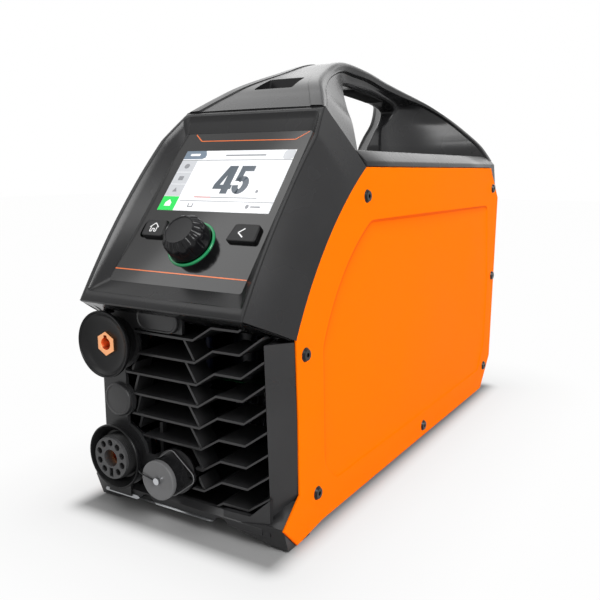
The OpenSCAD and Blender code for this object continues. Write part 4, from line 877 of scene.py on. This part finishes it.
def cut_by(piece, spots, faces):
    """Takes a closed form with plain flat faces out of a piece."""
    mesh = bpy.data.meshes.new("tool")
    mesh.from_pydata((np.asarray(spots, float).reshape(-1, 3) * 0.001).tolist(), [], faces)
    shape = bmesh.new()
    shape.from_mesh(mesh)
    bmesh.ops.recalc_face_normals(shape, faces=shape.faces)
    shape.to_mesh(mesh)
    shape.free()
    tool = bpy.data.objects.new("tool", mesh)
    scene.collection.objects.link(tool)
    carve(piece, tool, 30)


dish_black = finish_of("dish_black", tone(19, 19, 20), 0.34, spread=0.04, grain=600, height=0.008, level=0.2)
insulator_grey = finish_of("insulator", tone(66, 66, 67), 0.42, spread=0.05, grain=600, height=0.01,
                           level=0.4)
earth_dish = [
    (9.85, -20), (13.5, -20), (13.5, 0), (18.9, 0), (18.9, 4.5), (19.6, 6.0), (24.2, 11.6), (25.1, 12.8),
    (25.45, 13.8), (25.45, 15.2), (25.25, 15.7), (24.8, 15.95), (24.4, 15.8), (24.1, 15.2), (23.8, 14.9),
    (23.3, 15.1), (22.9, 14.8), (21.8, 13.2), (19.6, 11.9), (16.5, 11.0), (13, 10.6), (8.2, 10.4),
    (8.2, 8.2), (9.85, 8.0), (9.85, -20)]
turned("earth_dish", earth_dish, earth_place, dish_black, "black_plastic", stands_for=("earth_socket_body",),
       crisp=34)


def hex_and_key(t, h, r):
    """The head's circle becomes a hexagon with a corner on top: r cos 30 / cos of the angle from the
    nearest flat. The bore's circle gains a keyway 3.2 mm wide that reaches 6.5 mm up."""
    off_flat = (t + np.pi / 6) % (np.pi / 3) - np.pi / 6
    hexagon = r * (np.cos(np.pi / 6) / np.cos(off_flat) - 1)
    slot = np.minimum(6.5 / np.maximum(np.sin(t), 0.01), 1.6 / np.maximum(np.abs(np.cos(t)), 0.01))
    keyway = np.where(np.sin(t) > 0, np.maximum(slot - r, 0), 0)
    return np.where((r > 7) & (h > 7.4), hexagon, np.where((r > 4) & (r < 5.1), keyway, 0))


contact_edge = [
    (0, -32), (6, -32), (6, -20), (9.7, -20), (9.7, 7.2), (9.4, 7.5), (9.4, 12.0), (9.2, 12.35), (8.8, 12.5),
    (5.0, 12.5), (4.7, 12.35), (4.55, 12.0), (4.55, -16), (0, -16)]
turned("earth_contact", contact_edge, earth_place, copper, "copper", sides=120, flute=hex_and_key,
       stands_for=("earth_socket_contact",), crisp=25)
plug_edge = [
    (0, -6), (9.6, -6), (9.6, 0), (13, 0), (13, 2.4), (12.8, 3.0), (12.3, 3.4), (11.7, 3.5), (11.4, 3.2),
    (11.0, 2.9), (10.6, 3.0), (0, 3.05)]
turned("round_plug", plug_edge, round_plug_place, slat_finish, "black_plastic",
       stands_for=("round_blank_cap",), crisp=34)
per_end, half_straight = 25, 10.5
end = np.radians(np.linspace(-90, 90, per_end))
half_circle = np.stack([np.cos(end), np.sin(end)], 1)
around = np.concatenate([half_circle, -half_circle])
straight = np.repeat([half_straight, -half_straight], per_end)
oblong_edge = ((5.3, -6), (5.3, 0), (9, 0), (9, 2.4), (8.8, 3.0), (8.3, 3.4), (7.7, 3.5), (7.4, 3.2),
               (7.0, 2.9), (6.6, 3.0))
plug_rows = oblong_plug_place([
    np.stack([r * around[:, 0] + straight, r * around[:, 1], np.full(len(around), h)], 1)
    for r, h in oblong_edge])
add_piece("oblong_plug", plug_rows, lofted(plug_rows), slat_finish, "black_plastic",
          stands_for=("oblong_blank_cap",), crisp=34)

collar = [
    (16.6, -17), (19, -17), (19, 0), (20.6, 0), (20.6, 3), (24.8, 7.2), (25.6, 8.2), (25.6, 9.8),
    (25.3, 10.3), (24.8, 10.5), (24.4, 10.3), (24.1, 9.8), (23.7, 9.0), (21.6, 6.2), (19.6, 4), (19.3, 2),
    (16.6, 2), (16.6, -17)]
turned("torch_collar", collar, torch_place, dish_black, "charcoal_plastic", stands_for=("torch_socket_ring",),
       crisp=34)
tooth = [(17.5 - 0.75 * (k % 2), 2.6 + 0.72 * k) for k in range(12)]
turned("torch_thread", [(16.55, 2.6)] + tooth + [(16.55, 10.6), (16.55, 2.6)], torch_place, dish_black,
       "black_plastic", crisp=20)
insulator = softened("torch_socket_insulator", 0, insulator_grey, name="drilled_insulator")
pin_circle, pin_hole, pin_step = 12.2, 2.65, 36
spin = np.radians(np.linspace(0, 360, 28, endpoint=False))
for k in range(9):
    way = math.radians(90 + pin_step * (k - 4))
    hole = np.array([np.stack([pin_circle * math.cos(way) + pin_hole * np.cos(spin),
                               pin_circle * math.sin(way) + pin_hole * np.sin(spin),
                               np.full(len(spin), h)], 1) for h in (5.5, 14.0)])
    hole = torch_place(hole)
    cut_by(insulator, hole, lofted(hole))

cap_edge = [
    (0, 14.3), (14.2, 14.3), (14.7, 14.6), (14.9, 15.1), (14.9, 17.6), (14.75, 18.1), (14.3, 18.45),
    (13.6, 18.5), (4.2, 18.5), (3.9, 18.3), (0, 18.3)]
turned("signal_lid", cap_edge, signal_place, cap_grey, "grey_plastic", body="dust_cap",
       stands_for=("signal_cap",), crisp=34)


def tube_along(route, r, sides=10):
    """A round tube: at each place of the route a circle of radius r square to the way there."""
    way = np.gradient(route, axis=0)
    way /= np.linalg.norm(way, axis=1)[:, None]
    side = np.cross(way, [0.0, 0.3, 1.0])
    side /= np.linalg.norm(side, axis=1)[:, None]
    up = np.cross(way, side)
    t = np.linspace(0, 2 * np.pi, sides, endpoint=False)[None, :, None]
    return route[:, None] + r * (np.cos(t) * side[:, None] + np.sin(t) * up[:, None])


lanyard_bends = np.array([[-2.6, 0, 19.0], [-8, 1.4, 19.3], [-16.2, 3.2, 19.2], [-19.2, 4, 15.6],
                          [-19.5, 5, 8], [-18.6, 6, 0.9]])
lanyard = tube_along(signal_place(through(lanyard_bends, 8)), 0.5)
add_piece("lanyard", lanyard, lofted(lanyard), screw_black, "grey_plastic", body="dust_cap",
          stands_for=("signal_cap_tether",), crisp=60)

# painted highlight: a light grey tube along the edge of the signal socket's flange stands for the light
# caught by that edge; its path is four corner arcs joined by straight stretches
flange = []
for (mid_x, mid_z), r, facing, sweep in (
        ((15, 0), 6, 0, 52), ((0, 13), 5, 90, 38), ((-15, 0), 6, 180, 52), ((0, -13), 5, 270, 38)):
    t = np.radians(facing + np.linspace(-sweep, sweep, 9))
    corner = [mid_x + (r - 0.3) * np.cos(t), mid_z + (r - 0.3) * np.sin(t), np.full(len(t), 2.6)]
    flange.append(np.stack(corner, 1))
flange = np.concatenate(flange)
painted_edge_glint = tube_along(signal_place(np.concatenate([flange[-1:], flange, flange[:2]])), 0.4)[1:-1]
add_piece("flange_painted_glint", painted_edge_glint, quads(*painted_edge_glint.shape[:2], True), cap_grey, "black_plastic", crisp=60)

# Inner parts ------------
# Circuit boards, aluminium heatsinks, capacitors, wound parts and the air line, all fixed inside the closed
# case. Each keeps its construction shape and has its own plain finish.

board_green = finish_of("circuit_board", tone(18, 84, 48), 0.35, cloud=60, height=0)
alu = finish_of("aluminium", (0.72, 0.73, 0.75, 1), 0.35, metal=1.0, height=0)
can_blue = finish_of("capacitor", tone(22, 24, 34), 0.3, height=0)
# the windings' brown is darkened as painted shade of the closed case's inside
wire = finish_of("winding", tone(44, 27, 18), 0.4, grain=500, height=0.2)
ferrite = finish_of("ferrite", tone(50, 50, 54), 0.6, height=0.05)
hose = finish_of("hose_blue", tone(22, 36, 74), 0.35, height=0)
for finish, names in (
        (alu, "heatsinks air_regulator"), (board_green, "main_board control_board filter_board"),
        (black_plastic, "power_modules button_switches solenoid_valve fan_frame cable_gland_nut"),
        (steel, "board_posts encoder_body encoder_shaft earth_socket_nut torch_socket_nut handle_screws"),
        (can_blue, "bus_capacitors"), (wire, "pfc_choke transformer_winding output_choke"),
        (ferrite, "transformer_core"), (hose, "air_hoses"),
        (copper, "torch_socket_contact torch_socket_pins"), (white, "display_module")):
    for node in names.split():
        dress(node, finish)
